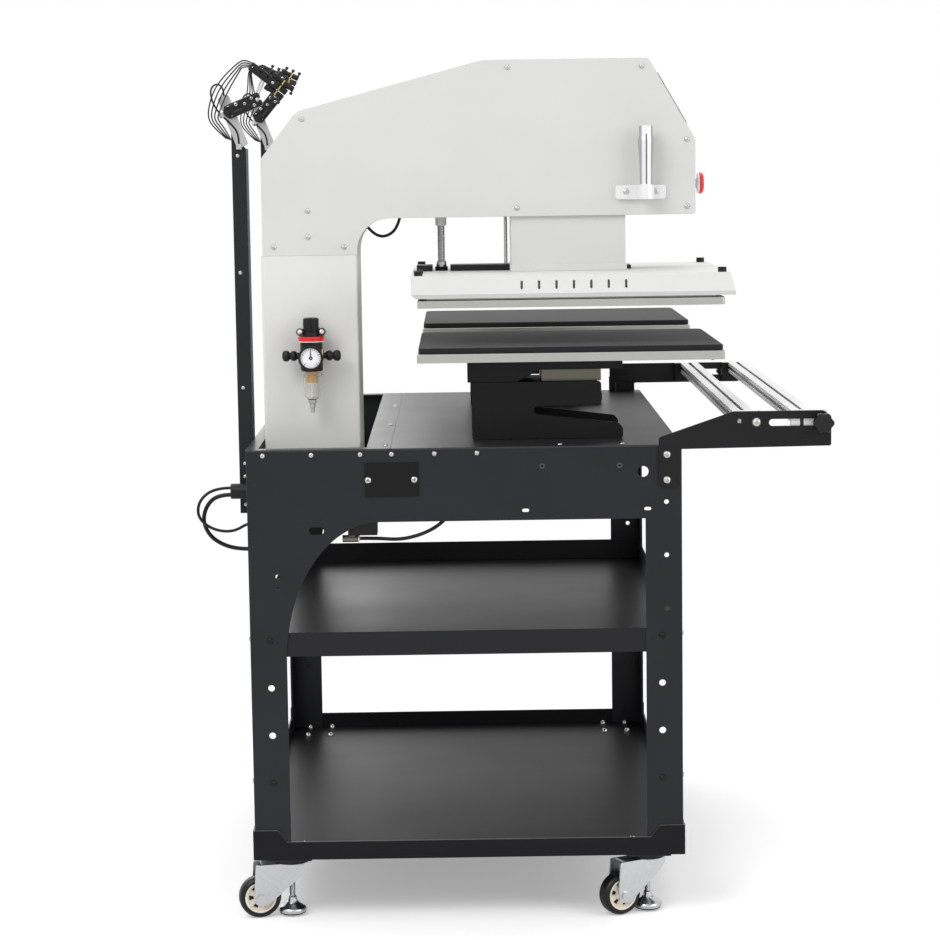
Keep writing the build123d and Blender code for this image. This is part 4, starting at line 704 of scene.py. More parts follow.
def smooth(piece: Any, angle: float = 35.0) -> None:
    """Shades a piece smooth where its faces meet at less than an angle, and keeps its large faces flat.

    Args:
        piece: Piece to shade.
        angle: Largest angle that looks smooth, in degrees.
    """
    select_only(piece)
    bpy.ops.object.shade_smooth_by_angle(angle=math.radians(angle))
    flat = piece.modifiers.new("flat faces", "WEIGHTED_NORMAL")
    flat.keep_sharp, flat.weight = True, 50
    bpy.ops.object.modifier_apply(modifier=flat.name)


def turn_to(way: Triple, place: Triple, spin: float = 0.0) -> Matrix:
    """Matrix that turns +Z to a direction at a place, in millimetres, after a spin about Z."""
    turn = Vector((0, 0, 1)).rotation_difference(Vector(way)).to_matrix().to_4x4()
    return Matrix.Translation(place) @ turn @ Matrix.Rotation(math.radians(spin), 4, "Z")


def placed(piece: Any, matrix: Matrix = Matrix.Identity(4)) -> Any:
    """Moves a piece by a matrix in millimetres and applies it in metres.

    Args:
        piece: Piece in millimetres.
        matrix: Where it goes.

    Returns:
        The piece in metres.
    """
    piece.matrix_world = Matrix.Scale(MM, 4) @ matrix
    select_only(piece)
    bpy.ops.object.transform_apply(location=True, rotation=True, scale=True)
    return piece


def moved(piece: Any, matrix: Matrix) -> Any:
    """Moves a piece by a matrix in millimetres and keeps it in millimetres.

    Args:
        piece: Piece in millimetres.
        matrix: Where it goes.

    Returns:
        The piece.
    """
    piece.matrix_world = matrix
    select_only(piece)
    bpy.ops.object.transform_apply(location=True, rotation=True, scale=True)
    return piece


def copied(piece: Any, name: str) -> Any:
    """Copies a piece with its own mesh.

    Args:
        piece: Piece to copy.
        name: Name of the copy.

    Returns:
        The copy.
    """
    twin = piece.copy()
    twin.data = piece.data.copy()
    twin.name = name
    bpy.context.collection.objects.link(twin)
    return twin


def coated(piece: Any, *finishes: Finish) -> Any:
    """Gives a piece its finishes as material slots.

    Args:
        piece: Piece to coat.
        finishes: Finishes in the order of the slots.

    Returns:
        The piece.
    """
    piece.data.materials.clear()
    for finish in finishes:
        piece.data.materials.append(finish.material())
    return piece


def joined(name: str, pieces: Sequence[Any]) -> Any:
    """Joins pieces into one, with their materials kept.

    Args:
        name: Name of the joined piece.
        pieces: Pieces to join.

    Returns:
        The joined piece.
    """
    select_only(*pieces)
    if len(pieces) > 1:
        bpy.ops.object.join()
    pieces[0].name = name
    return pieces[0]


def kept(piece: Any, body: str, slot: str, *nodes: str, angle: float = 35.0) -> Any:
    """Shades a finished piece, rides it on its body and hides the CAD nodes that it replaces.

    Args:
        piece: Finished piece.
        body: Body that carries it.
        slot: Its material slot in the record; not used.
        nodes: CAD nodes that it replaces.
        angle: Largest angle that looks smooth, in degrees.

    Returns:
        The piece.
    """
    smooth(piece, angle)
    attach(piece, body)
    if nodes:
        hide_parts(*nodes)
    log.info("%s: %d faces", piece.name, len(piece.data.polygons))
    return piece


def softened(node: str, width: float, *finishes: Finish, segments: int = 2) -> Any:
    """Stands a copy of a CAD node in for it, with its sharp edges rounded.

    Args:
        node: Name of the CAD node.
        width: Width of the rounding, in millimetres.
        finishes: Finishes of the piece.
        segments: Steps of the rounding.

    Returns:
        The piece.
    """
    source = frame["nodes"][node]
    piece = source.copy()
    piece.data = source.data.copy()
    piece.name = node + ".soft"
    bpy.context.collection.objects.link(piece)
    piece.parent = None
    piece.matrix_world = source.matrix_world
    select_only(piece)
    bpy.ops.object.transform_apply(location=True, rotation=True, scale=True)
    bpy.ops.object.mode_set(mode="EDIT")
    bpy.ops.mesh.select_all(action="SELECT")
    bpy.ops.mesh.remove_doubles(threshold=WELD)
    bpy.ops.mesh.dissolve_limited(angle_limit=math.radians(1))
    close_edit()
    rounded(piece, width * MM, segments)
    coated(piece, *finishes)
    return kept(piece, BODY_OF[node], SLOT_OF[node], node)


def two_tone(piece: Any, test: Callable[[Vector, Vector], bool]) -> None:
    """Gives the second finish to the faces whose centre and normal pass a test."""
    for face in piece.data.polygons:
        face.material_index = int(test(face.center, face.normal))


def plain(node: str, finish: Finish) -> None:
    """Gives a CAD node that keeps its own shape a finish."""
    coated(frame["nodes"][node], finish)


def middle(node: str) -> Vector:
    """Centre of a CAD node's box, in millimetres."""
    low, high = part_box(node)
    return (Vector(low) + Vector(high)) / 2 / MM


def corners(node: str) -> tuple[Vector, Vector]:
    """Lowest and highest corner of a CAD node's box, in millimetres."""
    low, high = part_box(node)
    return Vector(low) / MM, Vector(high) / MM


def wavy(count: int, reach: Callable[[int], float]) -> list[tuple[float, float]]:
    """Closed outline of a number of points, each at its own distance from the middle."""
    angles = [2 * math.pi * index / count for index in range(count)]
    return [(reach(index) * math.cos(angle), reach(index) * math.sin(angle)) for index, angle in enumerate(angles)]


def ribbed(radius: float, valley: float, low: float, high: float, pitch: float) -> list[tuple[float, float]]:
    """Profile of a thread or a corrugated hose between two heights.

    Args:
        radius: Radius of a rib.
        valley: Radius between ribs.
        low: Lower height.
        high: Upper height.
        pitch: Height of one rib.

    Returns:
        Radius and height of each step.
    """
    count = round((high - low) / pitch)
    steps = []
    for index in range(count):
        base = low + index * pitch
        steps += [(valley, base), (radius, base + pitch * 0.3), (radius, base + pitch * 0.6)]
    return steps + [(valley, high)]


# Sub-assemblies


@dataclass
class Stand:
    """Sheet metal stand with trays, table, pedestals and posts."""

    fold: float = 0.8
    sheet_edge: float = 0.5
    elbow_top: float = 0.6505
    lip_top: float = 0.1365
    station_y: float = 0.32
    load_block: tuple[Triple, Triple] = ((0.0310, -1, 0.8905), (0.1330, 0.063, 0.9115))
    side_y: float = 0.5
    black_screws: tuple[float, float] = (0.238, 0.478)
    near_level: float = 0.008
    plate_spots: tuple[tuple[float, float], ...] = ((-257.4, 743), (-181.6, 743))
    nut_spots: tuple[tuple[float, float], ...] = ((28.3, 762), (154.9, 761.3))
    hose_end: Triple = (-276, -478, 643.5)

    def build(self) -> None:
        """Dresses and softens the stand's pieces."""
        for side in ("near", "far"):
            softened("side_panel_" + side, self.sheet_edge, STAND_PAINT)
        aprons = softened("apron_panels", self.sheet_edge, STAND_PAINT, PLATE_PAINT)
        two_tone(aprons, lambda centre, normal: centre.y < -self.side_y)
        # Painted shade: the low tray takes the darker copy of the stand's paint.
        tray = softened("lower_tray", self.sheet_edge, SHADED_TRAY_PAINT, LIP_HIGHLIGHT_PAINT)
        # Painted highlight on the lip's upward faces.
        two_tone(tray, lambda centre, normal: centre.z > self.lip_top and normal.z > 0.3)
        softened("upper_shelf", self.sheet_edge, SHELF_PAINT)
        softened("table_top", self.sheet_edge, TABLE_PAINT)
        softened("slot_surround", self.sheet_edge, SURROUND_PAINT)
        softened("slide_bed", self.sheet_edge, STAND_PAINT)
        softened("pedestals", self.fold, FIXTURE_PAINT)
        brackets = softened("platen_brackets", self.fold, FIXTURE_PAINT, LOAD_PAINT)
        two_tone(brackets, self.on_load_block)
        softened("rail_brackets", self.fold, FIXTURE_PAINT)
        softened("caster_plates", self.fold, STAND_PAINT)
        softened("laser_posts", self.sheet_edge, STAND_PAINT)
        softened("laser_top_plates", self.sheet_edge, SATIN_METAL)
        softened("rear_gland", self.fold, BLACK_PLASTIC)
        plain("linear_rails", PLATING)
        self.cylinder()
        self.screws()
        self.rivet_nuts()
        self.plate_screws()

    def on_load_block(self, centre: Vector, normal: Vector) -> bool:
        """True for a face of the load blocks, which lie alike about both stations."""
        place = (centre.x, abs(abs(centre.y) - self.station_y), centre.z)
        return all(low < value < high for low, value, high in zip(self.load_block[0], place, self.load_block[1]))

    def plate_screws(self) -> None:
        """Puts wide pan heads on the cover plate, each with a dark cross of painted shade for its cross recess."""
        heads = []
        for x, z in self.plate_spots:
            head = turned("head", [(0, 0.2), (5.6, 0.2), (5.7, 1.4), (4.8, 3), (3, 3.9), (0, 4.2)], 28)
            spot = (x, -self.side_y / MM - 2, z)
            heads.append(coated(moved(head, turn_to(Way.NEAR.value, spot)), SCREW_METAL))
            # Painted shade: two dark bars on the head stand for the shade inside the cross recess.
            for spin in (20, 110):
                slit = block("slit", (-2.6, -0.5, 3.9), (2.6, 0.5, 4.35))
                heads.append(coated(moved(slit, turn_to(Way.NEAR.value, spot, spin)), DARK_STEEL_AND_RECESS_SHADE))
        kept(placed(joined("plate_screws", heads)), "stand", "steel")

    def screws(self) -> None:
        """Softens the screws; the button heads on the legs' outer faces are black."""
        screws = softened("stand_screws", 0.25, SCREW_METAL, BLACK_PLASTIC)
        two_tone(screws, lambda centre, normal: abs(centre.y) > self.side_y and self.level(centre.z) < self.near_level)

    def level(self, height: float) -> float:
        """Distance in height from the nearest row of black screws."""
        return min(abs(height - row) for row in self.black_screws)

    def rivet_nuts(self) -> None:
        """Sets a rivet nut in each of the two open holes of the near apron."""
        nut = turned(
            "nut",
            [(2, 0), (4.8, 0), (5, 0.3), (4.6, 0.8), (2.6, 0.8), (2, 0.4), (2, -6), (0, -6),
             (0, -8), (3.9, -8), (3.9, 0)],
            28,
        )
        nuts = []
        for x, z in self.nut_spots:
            twin = copied(nut, "rivet_nut")
            nuts.append(placed(coated(twin, DARK_STEEL_AND_RECESS_SHADE), turn_to(Way.NEAR.value, (x, -self.side_y / MM - 0.1, z))))
        bpy.data.objects.remove(nut)
        kept(joined("rivet_nuts", nuts), "stand", "steel")

    def cylinder(self) -> None:
        """Blackens the air cylinder, with a metal elbow and a pale ring at the hose."""
        cylinder = softened("shuttle_cylinder", self.sheet_edge, FIXTURE_PAINT, ELBOW_METAL)
        two_tone(cylinder, lambda centre, normal: centre.z < self.elbow_top)
        ring = turned("hose_ring", [(3.2, 0), (5.4, 0), (5.4, 2.4), (3.2, 2.4)], 28, True)
        placed(coated(ring, WHITE_PLASTIC), turn_to(Way.OPERATOR.value, self.hose_end))
        kept(ring, "stand", "steel")


@dataclass
class Platens:
    """Lower platens with sponge pads."""

    edge: float = 0.6
    pad_edge: float = 2.5

    def build(self) -> None:
        """Softens the platens and stands rounded sponge pads in for the CAD pads."""
        softened("platens", self.edge, MACHINED)
        pads = softened("pads", self.pad_edge, PAD_SPONGE, segments=4)


@dataclass
class Rails:
    """Slotted rails in front, the outer one on studs with star knobs."""

    edge: float = 0.5
    lobes: int = 6
    rim: float = 17.0
    waist: float = 14.4
    grip: float = 17.0
    collar: float = 7.0
    far_block_y: float = 0.487

    def outline(self) -> list[tuple[float, float]]:
        """Scalloped outline of the knob."""
        swells = [0.5 + 0.5 * math.cos(2 * math.pi * index / 10) for index in range(10)]
        return wavy(self.lobes * 10, lambda index: self.waist + (self.rim - self.waist) * swells[index % 10] ** 0.6)

    def build(self) -> None:
        """Softens the rails and makes the two knobs."""
        for node, metal in (("inner_rail", INNER_RAIL), ("outer_rail", OUTER_RAIL)):
            rail = softened(node, self.edge, metal, FIXTURE_PAINT)
            two_tone(rail, lambda centre, normal: centre.y > self.far_block_y)
        for side, way in (("near", Way.NEAR), ("far", Way.FAR)):
            low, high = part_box("knob_" + side)
            hub = middle("knob_" + side)
            face = (low if side == "far" else high)[1] / MM
            grip = star("grip", self.outline(), self.grip, 1.6)
            moved(grip, Matrix.Translation((0, 0, self.collar)))
            collar = turned("collar", [(4.4, 0), (9.5, 0), (10, 0.6), (10, 7.2), (4.4, 7.2)], 32, True)
            knob = joined("knob_" + side + ".star", [coated(grip, KNOB_PLASTIC), coated(collar, KNOB_PLASTIC)])
            placed(knob, turn_to(way.value, (hub.x, face, hub.z)))
            kept(knob, side + "_knob", "black_plastic", "knob_" + side)


@dataclass
class Casters:
    """Swivel casters with moulded wheels, and levelling feet on threaded stems."""

    radius: float = 35.5
    width: float = 26.0
    rim_radius: float = 26.5
    bore: float = 4.35
    slots: int = 6
    foot_radius: float = 23.5
    stem: float = 5.0
    names: tuple[str, ...] = ("rear_near", "rear_far", "front_near", "front_far")

    def wheel(self) -> Any:
        """Makes one wheel about Z: tyre, dished rim with slots, and hub.

        Returns:
            The wheel.
        """
        half = self.width / 2
        outer, rim = self.radius, self.rim_radius
        tyre = turned(
            "tyre",
            [
                (rim, -half + 1), (rim + 1.5, -half + 0.1), (rim + 4.5, -half), (outer - 2, -half + 2),
                (outer - 0.5, -half + 4.8), (outer, -half + 9), (outer, half - 9), (outer - 0.5, half - 4.8),
                (outer - 2, half - 2), (rim + 4.5, half), (rim + 1.5, half - 0.1), (rim, half - 1),
            ],
            56,
            True,
        )
        half_rim = [(self.bore, 13), (7.6, 13), (9, 12.2), (9.4, 10.4), (11, 8.6), (20.5, 8.2),
                    (22, 9), (23.2, 11.2), (24.6, 11.8), (rim - 0.02, 11.8)]
        disc = turned("rim", [(r, -z) for r, z in half_rim] + half_rim[::-1], 48, True)
        coated(tyre, TYRE)
        coated(disc, RIM_PLASTIC, RIM_SLOT_SHADE)
        # A slot takes half of each sixth of the dished web
        span = 2 * math.pi / self.slots

        def on_slot(face: Any) -> bool:
            """True for the web's faces at a slot.

            Args:
                face: Face of the rim.

            Returns:
                Whether it lies at a slot.
            """
            reach = math.hypot(face.center.x, face.center.y)
            turn = (math.atan2(face.center.y, face.center.x) % span) / span
            return 11 < reach < 20.5 and abs(face.normal.z) > 0.9 and turn < 0.5

        pick_faces(disc, on_slot)
        bpy.ops.mesh.inset(thickness=1.1, depth=-2.5)
        # The sunk slot floors take the second material: painted shade.
        bpy.context.object.active_material_index = 1
        bpy.ops.object.material_slot_assign()
        close_edit()
        return joined("wheel", [tyre, disc])

    def foot(self) -> Any:
        """Makes one foot about Z: rubber base, chromed cup, neck nut and threaded stem.

        Returns:
            The foot.
        """
        outer = self.foot_radius
        cup = turned(
            "cup",
            [
                (0, 3), (outer - 3, 3), (outer - 1.4, 4), (outer - 1.2, 5.4), (outer - 0.4, 6.4), (outer, 8),
                (outer, 10), (outer - 0.7, 12.2), (outer - 2.6, 14), (outer - 6, 15.6), (15, 17.4),
                (11.6, 19.6), (10, 21.8), (8, 22.4), (8, 25), (6.8, 27), (6.8, 30.5), (5.2, 32), (0, 32),
            ],
            44,
        )
        stem = turned("stem", ribbed(self.stem, self.stem - 0.6, 31.8, 106, 1.4), 20)
        return joined("foot", [coated(cup, FOOT_METAL), coated(stem, FOOT_METAL)])

    def build(self) -> None:
        """Places wheels, feet and forks."""
        wheel, foot = self.wheel(), self.foot()
        feet = []
        axes = {joint["name"]: joint for joint in frame["joints"]}
        for name in self.names:
            softened("fork_" + name, 0.7, PLATING)
            hub = middle("wheel_" + name)
            spindle = tuple(axes["roll_" + name]["axis"])
            piece = placed(copied(wheel, "wheel_" + name + ".moulded"), turn_to(spindle, tuple(hub)))
            kept(piece, "wheel_" + name, "tyre", "wheel_" + name, angle=30)
            swivel = axes["swivel_" + name]["pos_m"]
            spot = Matrix.Translation((swivel[0] / MM, swivel[1] / MM, 0))
            feet.append(placed(copied(foot, "foot." + name), spot))
        kept(joined("levelling_feet.turned", feet), "feet", "steel", "levelling_feet")
        for spare in (wheel, foot):
            bpy.data.objects.remove(spare)


@dataclass
class Arm:
    """Column and C-shaped arm with side covers, display, stop button and tube holder."""

    edge: float = 0.9
    stop_z: float = 1217.0
    arm_y: float = -320.0
    nose_x: float = 290.0

    def build(self) -> None:
        """Dresses the shuttle's shell and its fittings."""
        # The column takes the lighter copy of the arm's paint: painted light.
        softened("column", self.edge, LIT_COLUMN_PAINT)
        softened("arm_frame", 0.6, ARM_PAINT)
        softened("arm_side_covers", self.edge, ARM_PAINT)
        softened("carriage", 0.8, SATIN_METAL)
        softened("tube_holder", 0.5, TUBE_METAL)
        plain("press_cylinder", SATIN_METAL)
        plain("shuttle_screws", SCREW_METAL)
        self.stop_button()
        self.display()

    def stop_button(self) -> None:
        """Makes the red mushroom button."""
        low, high = corners("estop_button")
        length = high.x - low.x
        base = turned(
            "base",
            [(0, 0), (8, 0), (8, 4.8), (16.4, 5), (17, 5.6), (17, length - 7.6), (0, length - 7.6)],
            48,
        )
        cap = turned(
            "cap",
            [
                (0, length - 7.8), (17.6, length - 7.8), (18, length - 7), (17.7, length - 4.4),
                (16.2, length - 2), (13.4, length - 0.7), (9, length - 0.1), (0, length),
            ],
            48,
        )
        button = joined("estop_button.mushroom", [coated(cap, RED_PLASTIC), coated(base, WHITE_PLASTIC)])
        placed(button, turn_to(Way.OPERATOR.value, (low.x, self.arm_y, self.stop_z)))
        kept(button, "stop_button", "stop_red", "estop_button")

    def display(self) -> None:
        """Makes the sloped control panel: frame, screen, keys and the collar of the stop button."""
        top = Vector((213, self.arm_y, 1424.5))
        foot = Vector((290, self.arm_y, 1291))
        along = (top - foot).normalized()
        across = Vector((0, 1, 0))
        out = across.cross(along)
        centre = (top + foot) / 2
        lie = Matrix((across, along, out)).transposed().to_4x4()
        lie.translation = centre
        plate = block("panel", (-58, -48, 0), (58, 48, 2.9), 0.8)
        screen = block("screen", (-42, -13, 2), (42, 37, 3), 0.2)
        pieces = [coated(plate, BLACK_PLASTIC), coated(screen, SCREEN)]
        for index, spot in enumerate((-36, -12, 12, 36)):
            finish = RED_PLASTIC if index == 3 else WHITE_PLASTIC
            key = turned("key", [(0, 2), (6, 2), (6, 2.7), (5.2, 3), (0, 3)], 28)
            pieces.append(coated(moved(key, Matrix.Translation((spot, -31, 0))), finish))
        panel = moved(joined("front_panel.display", pieces), lie)
        collar = turned("stop collar", [(8.3, 0.6), (8.3, 5), (19.2, 5), (20, 4.2), (20, 0), (8.3, 0)], 44)
        coated(collar, WHITE_PLASTIC)
        moved(collar, turn_to(Way.OPERATOR.value, (self.nose_x, self.arm_y, self.stop_z)))
        panel = placed(joined("front_panel.display", [panel, collar]))
        kept(panel, "shuttle", "black_gloss", "front_panel")


@dataclass
class AirFilter:
    """Filter and pressure regulator on the column, with gauge, bowl and knob."""

    x: float = -349.5
    y: float = -430.0
    z: float = 943.0
    back_y: float = -400.0
    gauge_z: float = 941.0
    gauge_radius: float = 20.5
    ticks: int = 21

    def at(self, height: float = 0.0) -> Matrix:
        """Upright matrix on the filter's axis."""
        return Matrix.Translation((self.x, self.y, height))

    def body(self) -> None:
        """Makes the black body, red ring, silver bracket and the two elbow fittings."""
        low, high = self.z - 25, self.z + 24
        core = turned(
            "core",
            [(0, low), (16.5, low), (18.5, low + 2), (18.5, high - 4), (17, high), (0, high)],
            36,
        )
        pieces = [coated(moved(core, self.at()), BLACK_PLASTIC)]
        front = block("front", (-15, -18.6, low + 6), (15, 0, high - 6), 2.5)
        pieces.append(coated(moved(front, self.at()), BLACK_PLASTIC))
        band = turned(
            "ring",
            [(12, high), (20.6, high), (21.5, high + 0.8), (21.5, high + 7.2), (20.6, high + 8), (12, high + 8)],
            40,
            True,
        )
        pieces.append(coated(moved(band, self.at()), RED_PLASTIC))
        neck = turned("neck", [(0, high), (14, high), (14, high + 16), (12.5, high + 16.5), (0, high + 16.5)], 36)
        pieces.append(coated(moved(neck, self.at()), BLACK_PLASTIC))
        lug = block("lug", (-22, 1, high + 9), (22, 30, high + 12.6), 0.6)
        ear = block("ear", (-22, 26.9, high + 3.5), (22, 29.9, high + 20.6), 1.2)
        pieces += [coated(moved(piece, self.at()), SATIN_METAL) for piece in (lug, ear)]
        for side in (-1, 1):
            spot = (self.x + side * 18, self.y - 9, high + 16)
            boss = turned("boss", [(0, -6), (5.8, -6), (6.2, -5.2), (6.2, 0), (5.6, 0.6), (0, 0.6)], 28)
            cross = turned("cross screw", [(0, 0.2), (4.4, 0.2), (4.4, 1.6), (3.4, 2.8), (1.4, 3.4), (0, 3.4)], 24)
            pieces.append(coated(moved(boss, turn_to(Way.NEAR.value, spot)), BLACK_PLASTIC))
            pieces.append(coated(moved(cross, turn_to(Way.NEAR.value, spot)), SCREW_METAL))
        rim = turned("rim", [(20, high - 0.6), (22, high - 0.6), (22, high + 0.6), (20, high + 0.6)], 40, True)
        pieces.append(coated(moved(rim, self.at()), WHITE_PLASTIC))
        elbow = [
            (0, 15), (7.4, 15), (7.6, 19), (5.4, 20.2), (5.4, 24), (7.2, 25.4), (8.4, 28), (8.6, 30.4),
            (7.6, 33), (5.8, 34.6), (5.8, 36.2), (7.8, 37.6), (9, 40), (9.3, 42.6), (8.8, 45.2), (7, 47.4),
            (4, 48.4), (0, 48.5),
        ]
        for way in (Way.OPERATOR, Way.REAR):
            nose = turned("elbow", elbow, 32)
            pieces.append(coated(moved(nose, turn_to(way.value, (self.x, self.y, self.z))), BLACK_PLASTIC))
        collar = turned("collar", [(11, 17.4), (13.2, 17.4), (13.2, 19.6), (11, 19.6)], 6, True)
        moved(collar, turn_to(Way.OPERATOR.value, (self.x, self.y, self.z)))
        pieces.append(coated(collar, BRASS))
        piece = placed(joined("filter_body.fitted", pieces))
        kept(piece, "shuttle", "machined", "filter_body")

    def gauge(self) -> None:
        """Makes the gauge: bezel, dial with ticks, and the needle on its own body."""
        outer = self.gauge_radius
        case = turned(
            "case",
            [(0, 0), (outer - 1, 0), (outer - 0.4, 6), (outer, 7), (outer, 12.2), (outer - 0.8, 13),
             (outer - 3.2, 13), (outer - 3.8, 12), (outer - 3.8, 7.9), (0, 7.9)],
            56,
        )
        dial = turned("dial", [(0, 7.6), (outer - 2.6, 7.6), (outer - 2.6, 8.2), (0, 8.2)], 56)
        post = turned("post", [(0, 8), (1.2, 8), (1.2, 9.9), (0, 9.9)], 16)
        pieces = [coated(case, BLACK_PLASTIC), coated(dial, DIAL_WHITE), coated(post, SCREW_METAL)]
        for index in range(self.ticks):
            angle = math.radians(-225 + 270 * index / (self.ticks - 1) - 90)
            inner = 12.2 if index % 5 == 0 else 14
            width = 0.42 if index % 5 == 0 else 0.24
            mark = block("tick", (inner, -width, 8.1), (16.2, width, 8.35))
            pieces.append(coated(moved(mark, Matrix.Rotation(angle - math.pi / 2, 4, "Z")), BLACK_PLASTIC))
        face = turn_to(Way.NEAR.value, (self.x, self.y - 19, self.gauge_z))
        piece = placed(joined("pressure_gauge.dial", pieces), face)
        kept(piece, "shuttle", "black_gloss", "pressure_gauge")
        low, high = corners("gauge_needle")
        hub = turned("hub", [(1.55, 0), (3, 0), (3, 0.9), (2.4, 1.2), (1.55, 1.2)], 28, True)
        outline = [(-0.8, 1.8), (0.8, 1.8), (0.9, 7), (0.15, 14.2), (-0.15, 14.2), (-0.9, 7)]
        blade = star("blade", outline, 0.5)
        needle = joined("gauge_needle.blade", [hub, blade])
        up = turn_to(Way.NEAR.value, (self.x, high.y, self.gauge_z))
        half_turn = up.to_3x3() @ Vector((0, 1, 0))
        spin = 0 if half_turn.z > 0 else 180
        placed(coated(needle, BLACK_PLASTIC), up @ Matrix.Rotation(math.radians(spin), 4, "Z"))
        kept(needle, "needle", "needle", "gauge_needle")

    def bowl(self) -> None:
        """Makes the clear bowl with the filter element inside and the drain below."""
        top, foot = self.z - 25, self.z - 73
        shell = turned(
            "bowl",
            [(18, top), (18, top - 6.4), (16, top - 8), (14, top - 9.2), (13.4, foot + 9), (12.4, foot + 5),
             (9, foot + 1), (6.4, foot), (0, foot), (0, foot + 1.6), (7.6, foot + 2.6), (10.8, foot + 6.4),
             (11.8, foot + 10), (12.4, top - 9.6), (14.6, top - 7.2), (16.4, top - 5.4), (16.4, top)],
            44,
            True,
        )
        moved(shell, self.at())
        placed(coated(shell, BOWL))
        kept(shell, "shuttle", "bowl", "filter_bowl")
        element = turned(
            "element",
            [(0, top - 0.2), (9, top - 0.2), (9.4, top - 2), (9.4, top - 18), (8.6, top - 19.4), (0, top - 19.6)],
            32,
        )
        deflector = turned(
            "deflector",
            [(0, top - 19.5), (10.4, top - 19.5), (10.4, top - 21.2), (2.6, top - 22.4), (2.2, foot + 4),
             (0, foot + 4)],
            32,
        )
        collar = turned(
            "drain",
            [(0, foot + 1.6), (6.6, foot - 0.2), (6.6, foot - 5), (5.2, foot - 6), (4.6, foot - 13), (3.4, foot - 14),
             (3, foot - 21.6), (0, foot - 21.8)],
            28,
        )
        parts = [coated(element, AMBER), coated(deflector, WHITE_PLASTIC), coated(collar, HOSE_METAL)]
        inside = placed(joined("filter_element", [moved(part, self.at()) for part in parts]))
        kept(inside, "shuttle", "bowl")

    def knob(self) -> None:
        """Makes the ribbed pressure knob."""
        low, high = corners("regulator_knob")
        outline = wavy(96, lambda index: 13 if index % 4 < 2 else 12.2)
        grip = star("grip", outline, high.z - low.z - 2)
        cap = turned("cap", [(0, 19.8), (12.4, 19.8), (12.2, 21.2), (11, 22), (3.4, 22), (3, 21.4), (0, 21.4)], 40)
        knob = joined("regulator_knob.ribbed", [coated(grip, KNOB_PLASTIC), coated(cap, KNOB_PLASTIC)])
        placed(knob, self.at(low.z))
        kept(knob, "pressure_knob", "black_plastic", "regulator_knob")

    def build(self) -> None:
        """Makes all pieces of the regulator."""
        self.body()
        self.gauge()
        self.bowl()
        self.knob()


@dataclass
class PressHead:
    """Heated head: neck, cover, plate, flexible conduit, caps and fittings."""

    edge: float = 1.2
    conduit_radius: float = 6.5
    rod_above: float = 0.014

    def build(self) -> None:
        """Softens the shell and makes the corrugated conduit."""
        softened("head_box", 0.8, ARM_PAINT)
        softened("head_cover", self.edge, COVER_PAINT)
        softened("heat_plate", 0.8, MACHINED)
        fittings = softened("head_fittings", 0.8, BLACK_PLASTIC, SCREW_METAL)
        rod_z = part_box("head_fittings")[0][2] + self.rod_above
        two_tone(fittings, lambda centre, normal: centre.z > rod_z)
        low, high = corners("conduit")
        x, y = (low.x + high.x) / 2, (low.y + high.y) / 2
        steps = ribbed(self.conduit_radius, self.conduit_radius - 0.9, low.z + 6.5, high.z, 2.6)
        hose = turned("hose", steps, 28)
        nut = turned("nut", [(0, 0), (12.4, 0), (12.4, 6.4), (10.8, 7.2), (0, 7.2)], 6)
        ferrule = turned("ferrule", [(0, 6.8), (8.6, 6.8), (8.6, 15), (7.6, 16.4), (0, 16.4)], 32)
        moved(nut, Matrix.Translation((0, 0, low.z)))
        moved(ferrule, Matrix.Translation((0, 0, low.z)))
        pieces = [coated(hose, HOSE_METAL), coated(nut, BLACK_PLASTIC), coated(ferrule, HOSE_METAL)]
        conduit = placed(joined("conduit.corrugated", pieces), Matrix.Translation((x, y, 0)))
        kept(conduit, "head", "steel", "conduit")


